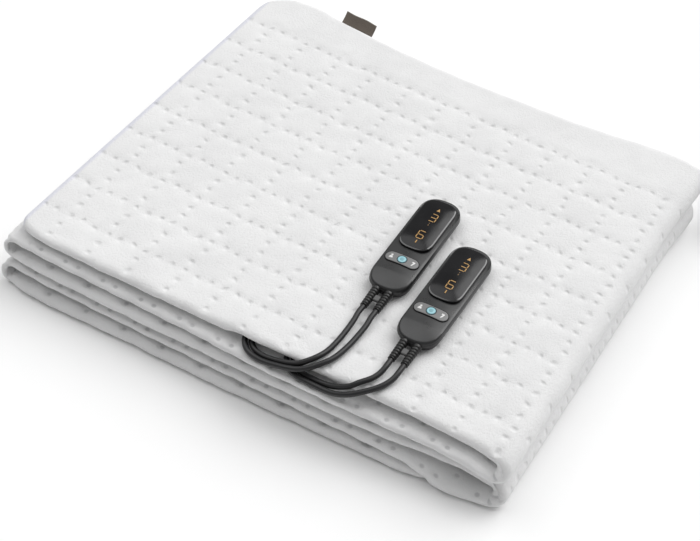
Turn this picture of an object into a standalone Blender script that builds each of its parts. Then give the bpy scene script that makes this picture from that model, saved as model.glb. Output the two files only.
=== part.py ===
"""Electric underblanket, folded flat in five layers, with its two wired handsets resting on top.

Frame: metres, +Z up. The origin is on the surface that the folded blanket lies on, under its middle.
X runs along the folded edges, from the loose edge of the top layer (left) to the big bends (right).
Y runs from the front edges, where the leads go in, to the back edges, where the label is sewn.
"""

import math

import bmesh
import bpy
import numpy as np

MM = 0.001
GAP = 0.3  # the clearance between pieces that touch, in mm

# ---------------------------------------------------------------- driving dimensions, in mm
CLOTH_HALF = 5.1  # half the thickness of the quilted cloth
NOSE = 6.5  # how far in from an edge the cloth's rounding reaches
EDGE_STEPS = (0.0, 0.5, 1.7, 3.6, NOSE)  # rows across that rounding
DEPTH_STEPS = 8  # rows between the front and the back rounding

CHANNEL = (-24.0, -15.0, 46.0, 55.0)  # x where the hollow for the leads starts, is full, and ends
CHANNEL_RISE = 3.8  # how far the top layer's underside is drawn up over the leads
MOUTH_LIFT = 1.6  # how far the top layer's front edge is lifted over them

# Sections of the five layers: x, height of the mid-surface, front edge (y), back edge (y)
LAYER_1 = (
    (-251.5, 56.2, -199.0, 188.0),
    (-246.0, 56.4, -206.0, 205.0),
    (-236.0, 56.4, -210.5, 215.0),
    (-222.0, 56.2, -212.5, 221.5),
    (-200.0, 55.6, -213.0, 223.0),
    (-160.0, 54.9, -212.6, 216.5),
    (-108.0, 54.4, -212.2, 209.5),
    (-45.0, 54.3, -211.8, 203.7),
    (15.0, 54.3, -211.3, 201.0),
    (97.0, 54.3, -210.6, 200.6),
    (150.0, 54.5, -210.0, 203.0),
    (200.0, 54.9, -209.8, 206.6),
    (222.0, 55.0, -210.5, 204.0),
    (235.3, 55.0, -213.0, 198.0),
)
LAYER_2 = (
    (235.3, 36.0, -222.0, 196.0),
    (215.0, 38.0, -220.5, 200.0),
    (195.0, 39.6, -219.7, 203.0),
    (150.0, 41.0, -221.3, 200.0),
    (97.0, 41.5, -223.6, 197.5),
    (15.0, 41.6, -224.0, 198.0),
    (-45.0, 41.7, -221.5, 201.0),
    (-108.0, 41.9, -220.3, 206.0),
    (-160.0, 42.8, -220.0, 213.0),
    (-200.0, 44.2, -220.0, 219.0),
    (-230.0, 45.1, -220.0, 215.0),
    (-246.7, 45.2, -218.0, 205.0),
)
LAYER_3 = (
    (-246.7, 30.7, -223.0, 205.0),
    (-230.0, 30.6, -225.5, 214.0),
    (-200.0, 30.3, -226.0, 218.0),
    (-108.0, 29.6, -226.5, 205.0),
    (-45.0, 29.4, -225.6, 202.0),
    (15.0, 29.4, -225.4, 200.0),
    (97.0, 29.3, -224.8, 199.0),
    (150.0, 29.2, -222.0, 200.0),
    (185.0, 28.4, -217.0, 202.0),
    (205.0, 27.0, -214.0, 202.0),
    (220.0, 25.8, -213.0, 200.0),
    (235.3, 24.9, -213.0, 196.0),
)
LAYER_4 = (
    (235.3, 5.1, -222.5, 196.0),
    (224.0, 5.1, -223.0, 199.0),
    (214.0, 6.6, -223.6, 200.0),
    (204.0, 10.0, -224.2, 201.0),
    (194.0, 13.8, -224.8, 201.0),
    (184.0, 16.2, -225.4, 201.0),
    (172.0, 17.1, -226.0, 201.0),
    (150.0, 17.2, -226.5, 200.0),
    (97.0, 17.2, -227.0, 199.0),
    (15.0, 17.2, -227.2, 200.0),
    (-45.0, 17.2, -227.0, 202.0),
    (-108.0, 17.4, -227.0, 205.0),
    (-200.0, 18.6, -227.0, 217.0),
    (-230.0, 19.4, -226.5, 213.0),
    (-247.3, 19.5, -225.0, 204.0),
)
LAYER_5 = (
    (-247.3, 5.1, -230.0, 204.0),
    (-230.0, 5.1, -234.5, 212.0),
    (-200.0, 5.1, -235.5, 216.0),
    (-108.0, 5.1, -233.5, 205.0),
    (-45.0, 5.1, -233.5, 202.0),
    (15.0, 5.1, -232.5, 200.0),
    (97.0, 5.1, -230.5, 199.0),
    (150.0, 5.1, -227.5, 199.0),
    (172.0, 5.1, -223.5, 196.0),
    (183.0, 5.1, -216.0, 188.0),
)
BEND_STEPS = 6  # straight steps in each half-round bend
RIGHT, LEFT = 1, -1
# Bends between the layers: the side, how far the cloth's edges draw in there at front and back
BENDS = ((RIGHT, 0.0, 9.0), (LEFT, -1.5, 10.0), (RIGHT, 0.0, 9.0), (LEFT, -2.0, 10.0))

TOP_OF_CLOTH = LAYER_1[8][1] + CLOTH_HALF

HANDSETS = (  # name, centre (x, y), turn in degrees
    ("a", 70.4, -49.0, 1.8),
    ("b", 121.9, -89.6, 0.9),
)
BODY = (40.0, 126.6)  # handset cover, width and length
BODY_POWER = 2.4  # 2 is a half-round end, more is squarer
SPLIT = 7.0  # height of the joint between base and cover
SHOULDER = 15.0  # top of the near half of the cover
RIM = 11.8  # top of the rim that the display lens stands on
LENS = (31.5, 67.4)
LENS_Y = 23.0
LENS_TOP = 18.5
KEY_Y = -27.4
PLATE = (31.4, 11.0)
PLATE_DEEP = 1.1
KEY_RADIUS = 4.5
KEY_TRAVEL = 0.6
KEY_PROUD = 0.7
KEY_TALL = 3.0
RELIEF_LONG = 22.0
RELIEF_X = 6.1
RELIEF_Z = 6.5

LEAD = 5.0  # diameter of every lead
LEAD_STEP = 14.0  # spacing of the points along a lead
COIL_MEAN = 28.0  # radius at the middle of a coil's turns
COIL_COLUMNS = 2
COIL_LEVELS = 3
COILS = {  # centre (x, y), the side that the plug lies on, the side of the coil that its lead comes to
    "a": (302.0, 279.0, 1, -1),
    "b": (302.0, 210.5, -1, 1),
}
PLUG_BODY = (26.0, 28.0, 13.6)  # width, length, thickness
PLUG_TAPER = 14.0
PIN = (2.0, 19.0, 19.0)  # radius, length, distance between the two

# Routes of the leads: x, y, z of hand-placed points on each lead's centreline
BLANKET_LEADS = {
    "a": (
        (67.6, -151.0, 64.7), (67.9, -165.0, 63.2), (67.5, -180.0, 62.5), (66.0, -193.0, 62.4),
        (63.0, -203.0, 63.2), (58.0, -210.0, 62.0), (51.0, -214.2, 58.2), (43.0, -216.3, 55.7),
        (34.0, -216.9, 53.0), (25.0, -216.9, 50.8), (17.0, -216.6, 49.7), (6.9, -213.9, 49.5),
        (-0.6, -206.4, 49.5), (-3.3, -196.0, 49.5), (-3.3, -170.0, 49.5), (-3.3, -90.0, 49.5),
    ),
    "b": (
        (116.2, -192.0, 64.4), (113.6, -198.8, 63.6), (109.4, -204.8, 63.1), (105.3, -209.3, 62.2),
        (100.5, -213.0, 59.0), (92.0, -215.6, 55.0), (83.0, -216.2, 51.6), (73.0, -216.1, 49.8),
        (65.0, -215.9, 49.5), (57.0, -215.6, 49.5), (48.5, -213.1, 49.5), (41.2, -205.8, 49.5),
        (38.5, -195.8, 49.5), (38.5, -170.0, 49.5), (38.5, -90.0, 49.5),
    ),
}
MAINS_LEADS = {
    "a": (
        (79.7, -151.0, 64.7), (79.2, -165.0, 63.2), (77.7, -182.0, 62.5), (74.5, -197.5, 62.6),
        (69.5, -207.0, 62.4), (62.5, -214.5, 60.2), (53.5, -219.5, 57.3), (44.0, -221.8, 55.4),
        (34.0, -222.3, 52.9), (25.0, -222.3, 50.8), (17.0, -222.0, 49.7), (3.9, -219.1, 49.6),
        (-5.8, -209.5, 49.6), (-9.1, -196.0, 49.5), (-9.1, -170.0, 49.5), (-9.1, 20.0, 49.5),
        (-9.1, 180.0, 49.5), (-9.1, 195.0, 49.9), (-9.1, 207.0, 45.8), (-8.5, 214.8, 38.0),
        (-7.5, 219.0, 26.5), (-3.0, 222.5, 14.0), (8.0, 226.0, 5.6), (24.0, 229.0, 3.0),
        (44.0, 230.0, 2.8), (100.0, 231.0, 2.8), (150.0, 237.0, 2.8), (200.0, 246.0, 2.8),
        (232.0, 249.3, 2.8), (262.0, 249.3, 2.8),
    ),
    "b": (
        (128.3, -192.3, 64.4), (125.0, -200.5, 63.4), (119.6, -208.0, 62.3), (112.0, -214.2, 59.8),
        (102.5, -219.4, 55.9), (92.0, -221.5, 52.0), (82.0, -221.7, 50.0), (73.0, -221.5, 49.6),
        (65.0, -221.3, 49.5), (57.0, -221.0, 49.5), (45.4, -218.3, 49.6), (35.9, -208.8, 49.6),
        (32.6, -195.8, 49.5), (32.6, -170.0, 49.5), (32.6, 20.0, 49.5),
        (32.6, 180.0, 49.5), (32.6, 195.0, 49.9), (32.6, 206.5, 45.8), (33.3, 213.6, 38.0),
        (34.3, 217.0, 26.5), (38.8, 219.0, 14.0), (49.8, 221.0, 5.6), (66.0, 222.2, 3.0),
        (86.0, 222.5, 2.8), (120.0, 224.5, 2.8), (160.0, 231.5, 2.8), (205.0, 241.0, 2.8),
        (235.0, 243.8, 2.8), (262.0, 243.0, 2.8),
    ),
}


# ---------------------------------------------------------------- helpers
def clear_scene():
    for item in list(bpy.data.objects):
        bpy.data.objects.remove(item, do_unlink=True)


def material(name, colour, roughness, metallic=0.0):
    found = bpy.data.materials.get(name)
    if found:
        return found
    made = bpy.data.materials.new(name)
    made.use_nodes = True
    shader = made.node_tree.nodes["Principled BSDF"]
    shader.inputs["Base Color"].default_value = (*colour, 1.0)
    shader.inputs["Roughness"].default_value = roughness
    shader.inputs["Metallic"].default_value = metallic
    return made


def add_object(name, data, finish, parent=None):
    item = bpy.data.objects.new(name, data)
    bpy.context.scene.collection.objects.link(item)
    data.materials.append(finish)
    item.parent = parent
    return item


def add_mesh(name, shape, finish, parent=None, sharp=35.0):
    """Turns a bmesh in millimetres into an object in metres, shaded smooth but for its sharp edges."""
    bmesh.ops.recalc_face_normals(shape, faces=shape.faces)
    bmesh.ops.scale(shape, vec=(MM, MM, MM), verts=shape.verts)
    mesh = bpy.data.meshes.new(name)
    shape.to_mesh(mesh)
    shape.free()
    mesh.shade_smooth()
    mesh.set_sharp_from_angle(angle=math.radians(sharp))
    return add_object(name, mesh, finish, parent)


def through(points, step):
    """A smooth curve through points, centripetal Catmull-Rom, read off at about every step."""
    points = np.array(points, float)
    ends = np.vstack([2 * points[0] - points[1], points, 2 * points[-1] - points[-2]])
    fine = []
    for a, b, c, d in zip(ends, ends[1:], ends[2:], ends[3:]):
        knots = np.cumsum([0.0] + [np.linalg.norm(q - p) ** 0.5 for p, q in ((a, b), (b, c), (c, d))])
        t = np.linspace(knots[1], knots[2], 12, endpoint=False)[:, None]
        ab = (knots[1] - t) * a / (knots[1] - knots[0]) + (t - knots[0]) * b / (knots[1] - knots[0])
        bc = (knots[2] - t) * b / (knots[2] - knots[1]) + (t - knots[1]) * c / (knots[2] - knots[1])
        cd = (knots[3] - t) * c / (knots[3] - knots[2]) + (t - knots[2]) * d / (knots[3] - knots[2])
        ac = ((knots[2] - t) * ab + (t - knots[0]) * bc) / (knots[2] - knots[0])
        bd = ((knots[3] - t) * bc + (t - knots[1]) * cd) / (knots[3] - knots[1])
        fine.append(((knots[2] - t) * ac + (t - knots[1]) * bd) / (knots[2] - knots[1]))
    fine = np.vstack([*fine, points[-1:]])
    along = np.concatenate([[0.0], np.cumsum(np.linalg.norm(np.diff(fine, axis=0), axis=1))])
    stations = np.linspace(0.0, along[-1], round(along[-1] / step) + 1)
    return np.column_stack([np.interp(stations, along, fine[:, k]) for k in range(3)])


def add_lead(name, points, finish):
    """A lead as a round tube along points that are already close together."""
    curve = bpy.data.curves.new(name, "CURVE")
    curve.dimensions = "3D"
    curve.bevel_depth = LEAD / 2 * MM
    curve.bevel_resolution = 2
    curve.use_fill_caps = True
    line = curve.splines.new("POLY")
    line.points.add(len(points) - 1)
    line.points.foreach_set("co", np.column_stack([points * MM, np.ones(len(points))]).ravel())
    return add_object(name, curve, finish)


def outline(width, length, power=BODY_POWER, steps=40, grow=0.0):
    """Plan of a long rounded body: straight sides between superelliptic ends, as x, y rows."""
    turn = np.linspace(0.0, 2 * math.pi, steps, endpoint=False) + math.pi / steps
    end = width / 2
    across = np.sign(np.cos(turn)) * np.abs(np.cos(turn)) ** (2 / power)
    along = np.sign(np.sin(turn)) * np.abs(np.sin(turn)) ** (2 / power)
    x = (end + grow) * across
    y = (end + grow) * along + np.sign(np.sin(turn)) * (length / 2 - end)
    return np.column_stack([x, y])


def stack(shape, rings):
    """Skins a closed body through rings of equal length, each an x, y plan at a height."""
    rows = [[shape.verts.new((x, y, z)) for x, y in plan] for plan, z in rings]
    shape.faces.new(rows[0][::-1])
    shape.faces.new(rows[-1])
    count = len(rows[0])
    for low, high in zip(rows, rows[1:]):
        for k in range(count):
            after = (k + 1) % count
            shape.faces.new((low[k], low[after], high[after], high[k]))
    return shape


def turned(shape, profile, steps, centre=(0.0, 0.0, 0.0), axis="Z"):
    """Turns a closed profile of radius, height rows about an axis through centre."""
    angles = np.linspace(0.0, 2 * math.pi, steps, endpoint=False)
    rows = []
    for radius, height in profile:
        ring = []
        for a in angles:
            u, v = radius * math.cos(a), radius * math.sin(a)
            place = {"Z": (u, v, height), "Y": (v, height, u)}[axis]
            ring.append(shape.verts.new(tuple(c + p for c, p in zip(centre, place))))
        rows.append(ring)
    return rows


def bridge(shape, rows, closed=False):
    pairs = list(zip(rows, rows[1:])) + ([(rows[-1], rows[0])] if closed else [])
    for low, high in pairs:
        for k in range(len(low)):
            after = (k + 1) % len(low)
            shape.faces.new((low[k], low[after], high[after], high[k]))


def cut(target, name, shape):
    """Cuts a closed bmesh in millimetres out of target, with the cutter kept as a hidden guide."""
    tool = add_mesh(name, shape, material("cutter", (0.8, 0.2, 0.2), 0.5), target.parent)
    tool.hide_render = True
    tool.display_type = "WIRE"
    modifier = target.modifiers.new(name, "BOOLEAN")
    modifier.operation = "DIFFERENCE"
    modifier.solver = "EXACT"
    modifier.object = tool


# ---------------------------------------------------------------- the folded blanket
def rounding(distance):
    """Share of the cloth's thickness left at a distance from its edge."""
    t = np.clip(np.asarray(distance, float) / NOSE, 0.0, 1.0)
    return np.sqrt(1.0 - (1.0 - t) ** 2)


def bend(start, end, side, front_in, back_in):
    """Half-round bend from the end of one layer to the start of the next, without its two ends."""
    start, end = np.array(start), np.array(end)
    radius = abs(start[1] - end[1]) / 2
    centre_x, centre_z = (start[0] + end[0]) / 2, (start[1] + end[1]) / 2
    rows = []
    for k in range(1, BEND_STEPS):
        share = k / BEND_STEPS
        angle = math.pi * share
        draw = math.sin(angle)
        rows.append((
            centre_x + side * radius * math.sin(angle),
            centre_z + math.copysign(radius, start[1] - end[1]) * math.cos(angle),
            start[2] + (end[2] - start[2]) * share + front_in * draw,
            start[3] + (end[3] - start[3]) * share - back_in * draw,
        ))
    return rows


def edge_rows(first, second):
    """Extra section rows just inside a free edge, across its rounding."""
    first, second = np.array(first), np.array(second)
    long = np.hypot(*(second - first)[:2])
    return [tuple(first + (second - first) * step / long) for step in EDGE_STEPS[1:-1]]


def with_channel(layer):
    """The top layer's rows, with extra ones where the hollow for the leads starts and ends."""
    table = np.array(layer)
    extra = [tuple(np.interp(x, table[:, 0], table[:, k]) for k in range(4)) for x in CHANNEL]
    return sorted([*layer, *extra])


def section():
    """The whole back-and-forth section as rows of x, z, front, back, and which layer each is in."""
    layers = [with_channel(LAYER_1), list(LAYER_2), list(LAYER_3), list(LAYER_4), list(LAYER_5)]
    layers[0][1:1] = edge_rows(layers[0][0], layers[0][1])
    layers[4][-1:-1] = edge_rows(layers[4][-1], layers[4][-2])[::-1]
    rows, number = [], []
    for k, layer in enumerate(layers):
        rows += layer
        number += [k + 1] * len(layer)
        if k < len(BENDS):
            joint = bend(layer[-1], layers[k + 1][0], *BENDS[k])
            rows += joint
            number += [0] * len(joint)
    return np.array(rows), np.array(number)


def blanket():
    """One closed solid: a mid-surface on a grid, offset to both sides by half the cloth's thickness."""
    rows, number = section()
    x, z, front, back = rows.T
    path = np.concatenate([[0.0], np.cumsum(np.hypot(np.diff(x), np.diff(z)))])
    along_x, along_z = np.gradient(x, path), np.gradient(z, path)
    size = np.hypot(along_x, along_z)
    normal_x, normal_z = -along_z / size, along_x / size

    inner = np.linspace(0.0, 1.0, DEPTH_STEPS + 1)[1:-1]
    near = np.array(EDGE_STEPS)
    depth = [front + step for step in near]
    depth += [front + NOSE + share * (back - front - 2 * NOSE) for share in inner]
    depth += [back - step for step in near[::-1]]
    y = np.array(depth).T

    from_end = np.minimum(path, path[-1] - path)[:, None]
    from_side = np.minimum(y - front[:, None], back[:, None] - y)
    half = CLOTH_HALF * rounding(from_end) * rounding(from_side)

    top = (number == 1)[:, None]
    hollow = np.interp(x, CHANNEL, (0.0, 1.0, 1.0, 0.0))[:, None] * top
    mouth = np.exp(-(((y - front[:, None]) / 34.0) ** 2)) * hollow
    below = half * (1.0 - hollow * CHANNEL_RISE / CLOTH_HALF)

    middle = np.stack([np.broadcast_to(x[:, None], y.shape), y, z[:, None] + MOUTH_LIFT * mouth], 2)
    out = np.stack([normal_x, 0 * normal_x, normal_z], 1)[:, None, :]
    upper = middle + out * half[..., None]
    lower = middle - out * below[..., None]
    for side in (upper, lower):
        side[..., 2] = np.where(side[..., 2] < 0.25, 0.0, side[..., 2])

    shape = bmesh.new()
    sides = [[[shape.verts.new(p) for p in line] for line in side] for side in (upper, lower)]
    for side in sides:
        for a, b in zip(side, side[1:]):
            for k in range(len(a) - 1):
                shape.faces.new((a[k], a[k + 1], b[k + 1], b[k]))
    bmesh.ops.remove_doubles(shape, verts=shape.verts, dist=0.02)
    white = material("quilted cloth", (0.86, 0.86, 0.85), 0.9)
    return add_mesh("blanket", shape, white, sharp=80.0)


def label_tab():
    """Woven tab that stands out of the back edge, leaning up and back."""
    width, long, thick = 39.5, 13.0, 1.2
    lean, turn = math.radians(48.0), math.radians(-8.0)
    shape = bmesh.new()
    rings = []
    for k in range(5):
        share = k / 4
        reach = long * share
        curl = lean + 0.25 * (share - 0.5)
        y, z = reach * math.cos(curl), reach * math.sin(curl)
        ny, nz = -math.sin(curl) * thick / 2, math.cos(curl) * thick / 2
        corners = ((-width / 2, y - ny, z - nz), (width / 2, y - ny, z - nz),
                   (width / 2, y + ny, z + nz), (-width / 2, y + ny, z + nz))
        rings.append([shape.verts.new(c) for c in corners])
    bridge(shape, rings)
    shape.faces.new(rings[0][::-1])
    shape.faces.new(rings[-1])
    tab = add_mesh("label_tab", shape, material("taupe tape", (0.17, 0.14, 0.11), 0.8))
    tab.location = (-146.0 * MM, 215.9 * MM, 55.6 * MM)
    tab.rotation_euler = (0.0, 0.0, turn)
    return tab


# ---------------------------------------------------------------- the handsets
def handset_base(tag, parent):
    width, length = BODY
    rings = [
        (outline(width, length, grow=-4.2), 0.0),
        (outline(width, length, grow=-1.8), 1.0),
        (outline(width, length, grow=-0.7), 3.2),
        (outline(width, length, grow=-0.9), SPLIT - GAP),
    ]
    shape = stack(bmesh.new(), rings)
    return add_mesh(f"handset_{tag}_base", shape, material("dark shell", (0.02, 0.02, 0.022), 0.5), parent)


def handset_cover(tag, parent):
    """Cover with a stepped-down rim for the lens, a pocket for the key plate and a well for the key."""
    width, length = BODY
    rings = [
        (outline(width, length, grow=-0.3), SPLIT),
        (outline(width, length), SPLIT + 1.6),
        (outline(width, length, grow=-0.5), 11.0),
        (outline(width, length, grow=-2.0), 13.6),
        (outline(width, length, grow=-4.0), SHOULDER - 0.3),
        (outline(width, length, grow=-6.5), SHOULDER),
    ]
    grey = material("graphite cover", (0.075, 0.077, 0.08), 0.45)
    cover = add_mesh(f"handset_{tag}_cover", stack(bmesh.new(), rings), grey, parent)
    arc, centre_y = 21.0, LENS_Y - LENS[1] / 2 + 21.0 - 1.6
    angles = np.linspace(math.pi, 2 * math.pi, 15)
    plan = [(arc * math.cos(a) * 1.12, centre_y + arc * math.sin(a)) for a in angles]
    plan += [(30.0, length), (-30.0, length)]
    low, high = RIM, SHOULDER + 5.0
    step_back = np.array(plan)
    cut(cover, f"handset_{tag}_step", stack(bmesh.new(), [(step_back, low), (step_back * (1.03, 1.0), high)]))
    pocket = outline(PLATE[1] + 2 * GAP, PLATE[0] + 2 * GAP, 2.0, 28)[:, ::-1] + (0.0, KEY_Y)
    cut(cover, f"handset_{tag}_pocket",
        stack(bmesh.new(), [(pocket, SHOULDER - PLATE_DEEP - GAP), (pocket, SHOULDER + 2.0)]))
    well = outline(2 * (KEY_RADIUS + GAP), 2 * (KEY_RADIUS + GAP), 2.0, 24) + (0.0, KEY_Y)
    floor = SHOULDER + KEY_PROUD - KEY_TALL - KEY_TRAVEL - GAP
    cut(cover, f"handset_{tag}_well", stack(bmesh.new(), [(well, floor), (well, SHOULDER + 1.0)]))
    return cover


def handset_lens(tag, parent):
    """Glossy display block with a softly domed top."""
    drops = ((-0.5, 0.9), (-1.5, 0.4), (-4.5, 0.15), (-9.0, 0.0))
    sizes = [(0.0, RIM + GAP), (0.0, LENS_TOP - 1.8)] + [(g, LENS_TOP - drop) for g, drop in drops]
    rings = [(outline(*LENS, power=2.9, grow=g) + (0.0, LENS_Y), z) for g, z in sizes]
    glass = material("black lens", (0.012, 0.012, 0.013), 0.08)
    return add_mesh(f"handset_{tag}_lens", stack(bmesh.new(), rings), glass, parent)


def handset_plate(tag, parent):
    """Pill-shaped key plate lying across the cover, with a round hole for the power key."""
    low, high = SHOULDER - PLATE_DEEP, SHOULDER + 0.1
    plan = [outline(PLATE[1], PLATE[0], 2.0, 28, grow)[:, ::-1] + (0.0, KEY_Y) for grow in (0.0, 0.0, -0.4)]
    shape = stack(bmesh.new(), list(zip(plan, (low, high - 0.3, high))))
    plate = add_mesh(f"handset_{tag}_plate", shape, material("key grey", (0.2, 0.2, 0.2), 0.5), parent)
    hole = outline(2 * (KEY_RADIUS + GAP), 2 * (KEY_RADIUS + GAP), 2.0, 24) + (0.0, KEY_Y)
    cut(plate, f"handset_{tag}_plate_hole", stack(bmesh.new(), [(hole, low - 1.0), (hole, high + 1.0)]))
    return plate


def handset_key(tag, parent):
    """Round power key. It slides down into its well."""
    top = SHOULDER + KEY_PROUD
    sizes = ((0.0, top - KEY_TALL), (0.0, top - 0.5), (-0.5, top))
    rings = [(outline(2 * KEY_RADIUS, 2 * KEY_RADIUS, 2.0, 24, grow) + (0.0, KEY_Y), z) for grow, z in sizes]
    teal = material("lit key", (0.25, 0.62, 0.72), 0.35)
    return add_mesh(f"handset_{tag}_key", stack(bmesh.new(), rings), teal, parent)


def handset_relief(tag, parent):
    """Two ribbed, tapered sleeves side by side, joined by a small web."""
    width, length = BODY
    start = -length / 2 - 0.35
    ribs = 6
    profile = [(3.9, 0.0)]
    for k in range(ribs):
        at = RELIEF_LONG * (k + 0.35) / ribs
        radius = 4.5 - 1.0 * k / ribs
        profile += [(radius, at), (radius, at + 1.7), (radius - 0.7, at + 2.1), (radius - 0.7, at + 3.1)]
    profile[-1] = (3.1, RELIEF_LONG)
    rubber = material("black rubber", (0.015, 0.015, 0.015), 0.6)
    pair = None
    for side in (-1, 1):
        shape = bmesh.new()
        rows = turned(shape, [(r, start - h) for r, h in profile], 10, (side * RELIEF_X, 0.0, RELIEF_Z), "Y")
        bridge(shape, rows)
        shape.faces.new(rows[0])
        shape.faces.new(rows[-1])
        name = f"handset_{tag}_relief" if pair is None else f"handset_{tag}_relief_twin"
        sleeve = add_mesh(name, shape, rubber, parent)
        if pair is None:
            pair = sleeve
        else:
            join(pair, sleeve)
    web = bmesh.new()
    half, front, back = RELIEF_X - 2.0, start - 15.5, start - 9.5
    corners = ((-half, front), (half, front), (half, back), (-half, back))
    stack(web, [(np.array(corners), RELIEF_Z - 1.6), (np.array(corners), RELIEF_Z + 1.6)])
    join(pair, add_mesh(f"handset_{tag}_web", web, rubber, parent))
    return pair


def join(target, tool):
    """Unites tool with target and keeps it as a hidden guide."""
    tool.hide_render = True
    tool.display_type = "WIRE"
    modifier = target.modifiers.new(tool.name, "BOOLEAN")
    modifier.operation = "UNION"
    modifier.solver = "EXACT"
    modifier.object = tool


def handset(tag, x, y, turn):
    frame = bpy.data.objects.new(f"handset_{tag}", None)
    bpy.context.scene.collection.objects.link(frame)
    frame.location = (x * MM, y * MM, (TOP_OF_CLOTH + GAP) * MM)
    frame.rotation_euler = (0.0, 0.0, math.radians(turn))
    for make in (handset_base, handset_cover, handset_lens, handset_plate, handset_key, handset_relief):
        make(tag, frame)
    return frame


def relief_end(tag, side):
    """Where a lead leaves its strain relief: the sleeve's end, in the part's own frame."""
    _, x, y, turn = next(row for row in HANDSETS if row[0] == tag)
    angle = math.radians(turn)
    u, v = side * RELIEF_X, -BODY[1] / 2 - 0.35 - RELIEF_LONG - 0.8
    place = (u * math.cos(angle) - v * math.sin(angle), u * math.sin(angle) + v * math.cos(angle))
    return x + place[0], y + place[1], TOP_OF_CLOTH + GAP + RELIEF_Z


# ---------------------------------------------------------------- coils and plugs
def coil_size():
    """Inner radius, outer radius and height of a coil's ring of turns."""
    reach = COIL_COLUMNS * LEAD / 2
    return COIL_MEAN - reach, COIL_MEAN + reach, GAP + COIL_LEVELS * (LEAD + 0.1) - 0.1


def coil(tag, finish):
    """The wound part of a mains lead, as one turned ring on the floor."""
    inner, outer, height = coil_size()
    round_off = 1.6
    profile = [
        (inner + round_off, 0.0), (outer - round_off, 0.0), (outer, round_off), (outer, height - round_off),
        (outer - round_off, height), (inner + round_off, height), (inner, height - round_off),
        (inner, round_off),
    ]
    x, y, _, _ = COILS[tag]
    shape = bmesh.new()
    bridge(shape, turned(shape, profile, 28, (x, y, 0.0)), closed=True)
    return add_mesh(f"mains_coil_{tag}", shape, finish)


def plug_frame(tag):
    """Rear end of a plug: where the lead goes in, on top of one side of the coil."""
    x, y, side, _ = COILS[tag]
    inner, _, height = coil_size()
    return x + side * (inner + LEAD / 2), y + 2.0, height + GAP + PLUG_BODY[2] / 2


def coil_tail(tag, finish):
    """The last quarter turn of a mains lead, which climbs from the coil's top to the plug."""
    x, y, side, _ = COILS[tag]
    _, rear, high = plug_frame(tag)
    inner, _, height = coil_size()
    radius = inner + LEAD / 2
    low = height + GAP + LEAD / 2
    points = []
    for share in np.linspace(0.0, 1.0, 4):
        angle = -0.72 * (1.0 - share)
        across, along = side * radius * math.cos(angle), radius * math.sin(angle)
        points.append((x + across, y + along, low + (high - low) * share))
    points.append((x + side * radius, rear - GAP, high))
    return add_lead(f"mains_tail_{tag}", np.array(points), finish)


def plug(tag, finish):
    """Flat two-pin plug lying on its coil, its pins pointing back."""
    width, length, thick = PLUG_BODY
    x, y, z = plug_frame(tag)
    sizes = (  # distance from the rear, width, thickness
        (0.0, 8.0, 8.0), (PLUG_TAPER * 0.6, 9.5, 8.5), (PLUG_TAPER, 14.0, 9.5),
        (PLUG_TAPER + 4.0, 22.0, thick), (PLUG_TAPER + length * 0.7, width, thick),
        (PLUG_TAPER + length, width - 1.0, thick - 1.0),
    )
    shape = bmesh.new()
    rows = []
    for reach, wide, tall in sizes:
        ring = outline(tall, max(wide, tall + 0.01), 2.6, 16)
        rows.append([shape.verts.new((x + v, y + reach, z + u)) for u, v in ring])
    bridge(shape, rows)
    shape.faces.new(rows[0][::-1])
    shape.faces.new(rows[-1])
    body = add_mesh(f"plug_{tag}", shape, finish)
    radius, long, apart = PIN
    for side in (-1, 1):
        pin = bmesh.new()
        end = y + PLUG_TAPER + length
        profile = [(radius, end - 2.0), (radius, end + long - 0.8), (radius * 0.6, end + long)]
        rows = turned(pin, profile, 10, (x + side * apart / 2, 0.0, z), "Y")
        bridge(pin, rows)
        pin.faces.new(rows[0])
        pin.faces.new(rows[-1])
        join(body, add_mesh(f"plug_{tag}_pin_{'left' if side < 0 else 'right'}", pin, finish))
    return body


def leads(finish):
    for tag, route in BLANKET_LEADS.items():
        start = relief_end(tag, -1)
        first = (start[0], start[1] - 9.0, start[2] - 0.4)
        add_lead(f"blanket_lead_{tag}", through([start, first, *route], LEAD_STEP), finish)
    for tag, route in MAINS_LEADS.items():
        start = relief_end(tag, 1)
        first = (start[0], start[1] - 9.0, start[2] - 0.4)
        x, y, _, tangent = COILS[tag]
        last = (x - 18.2, y + tangent * (COIL_MEAN + LEAD / 2), LEAD / 2 + GAP)
        add_lead(f"mains_lead_{tag}", through([start, first, *route, last], LEAD_STEP), finish)
        coil(tag, finish)
        coil_tail(tag, finish)
        plug(tag, finish)


def main():
    clear_scene()
    blanket()
    label_tab()
    for row in HANDSETS:
        handset(*row)
    leads(material("black lead", (0.018, 0.018, 0.019), 0.5))


main()
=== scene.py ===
"""Electric underblanket, folded flat, with its two wired handsets on top: the dressed model.

Every length in a table is in millimetres, in the same frame as the CAD: +Z up, X along the folded
edges, Y from the front edges, where the leads go in, to the back edges.
"""

import math
from types import SimpleNamespace

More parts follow.
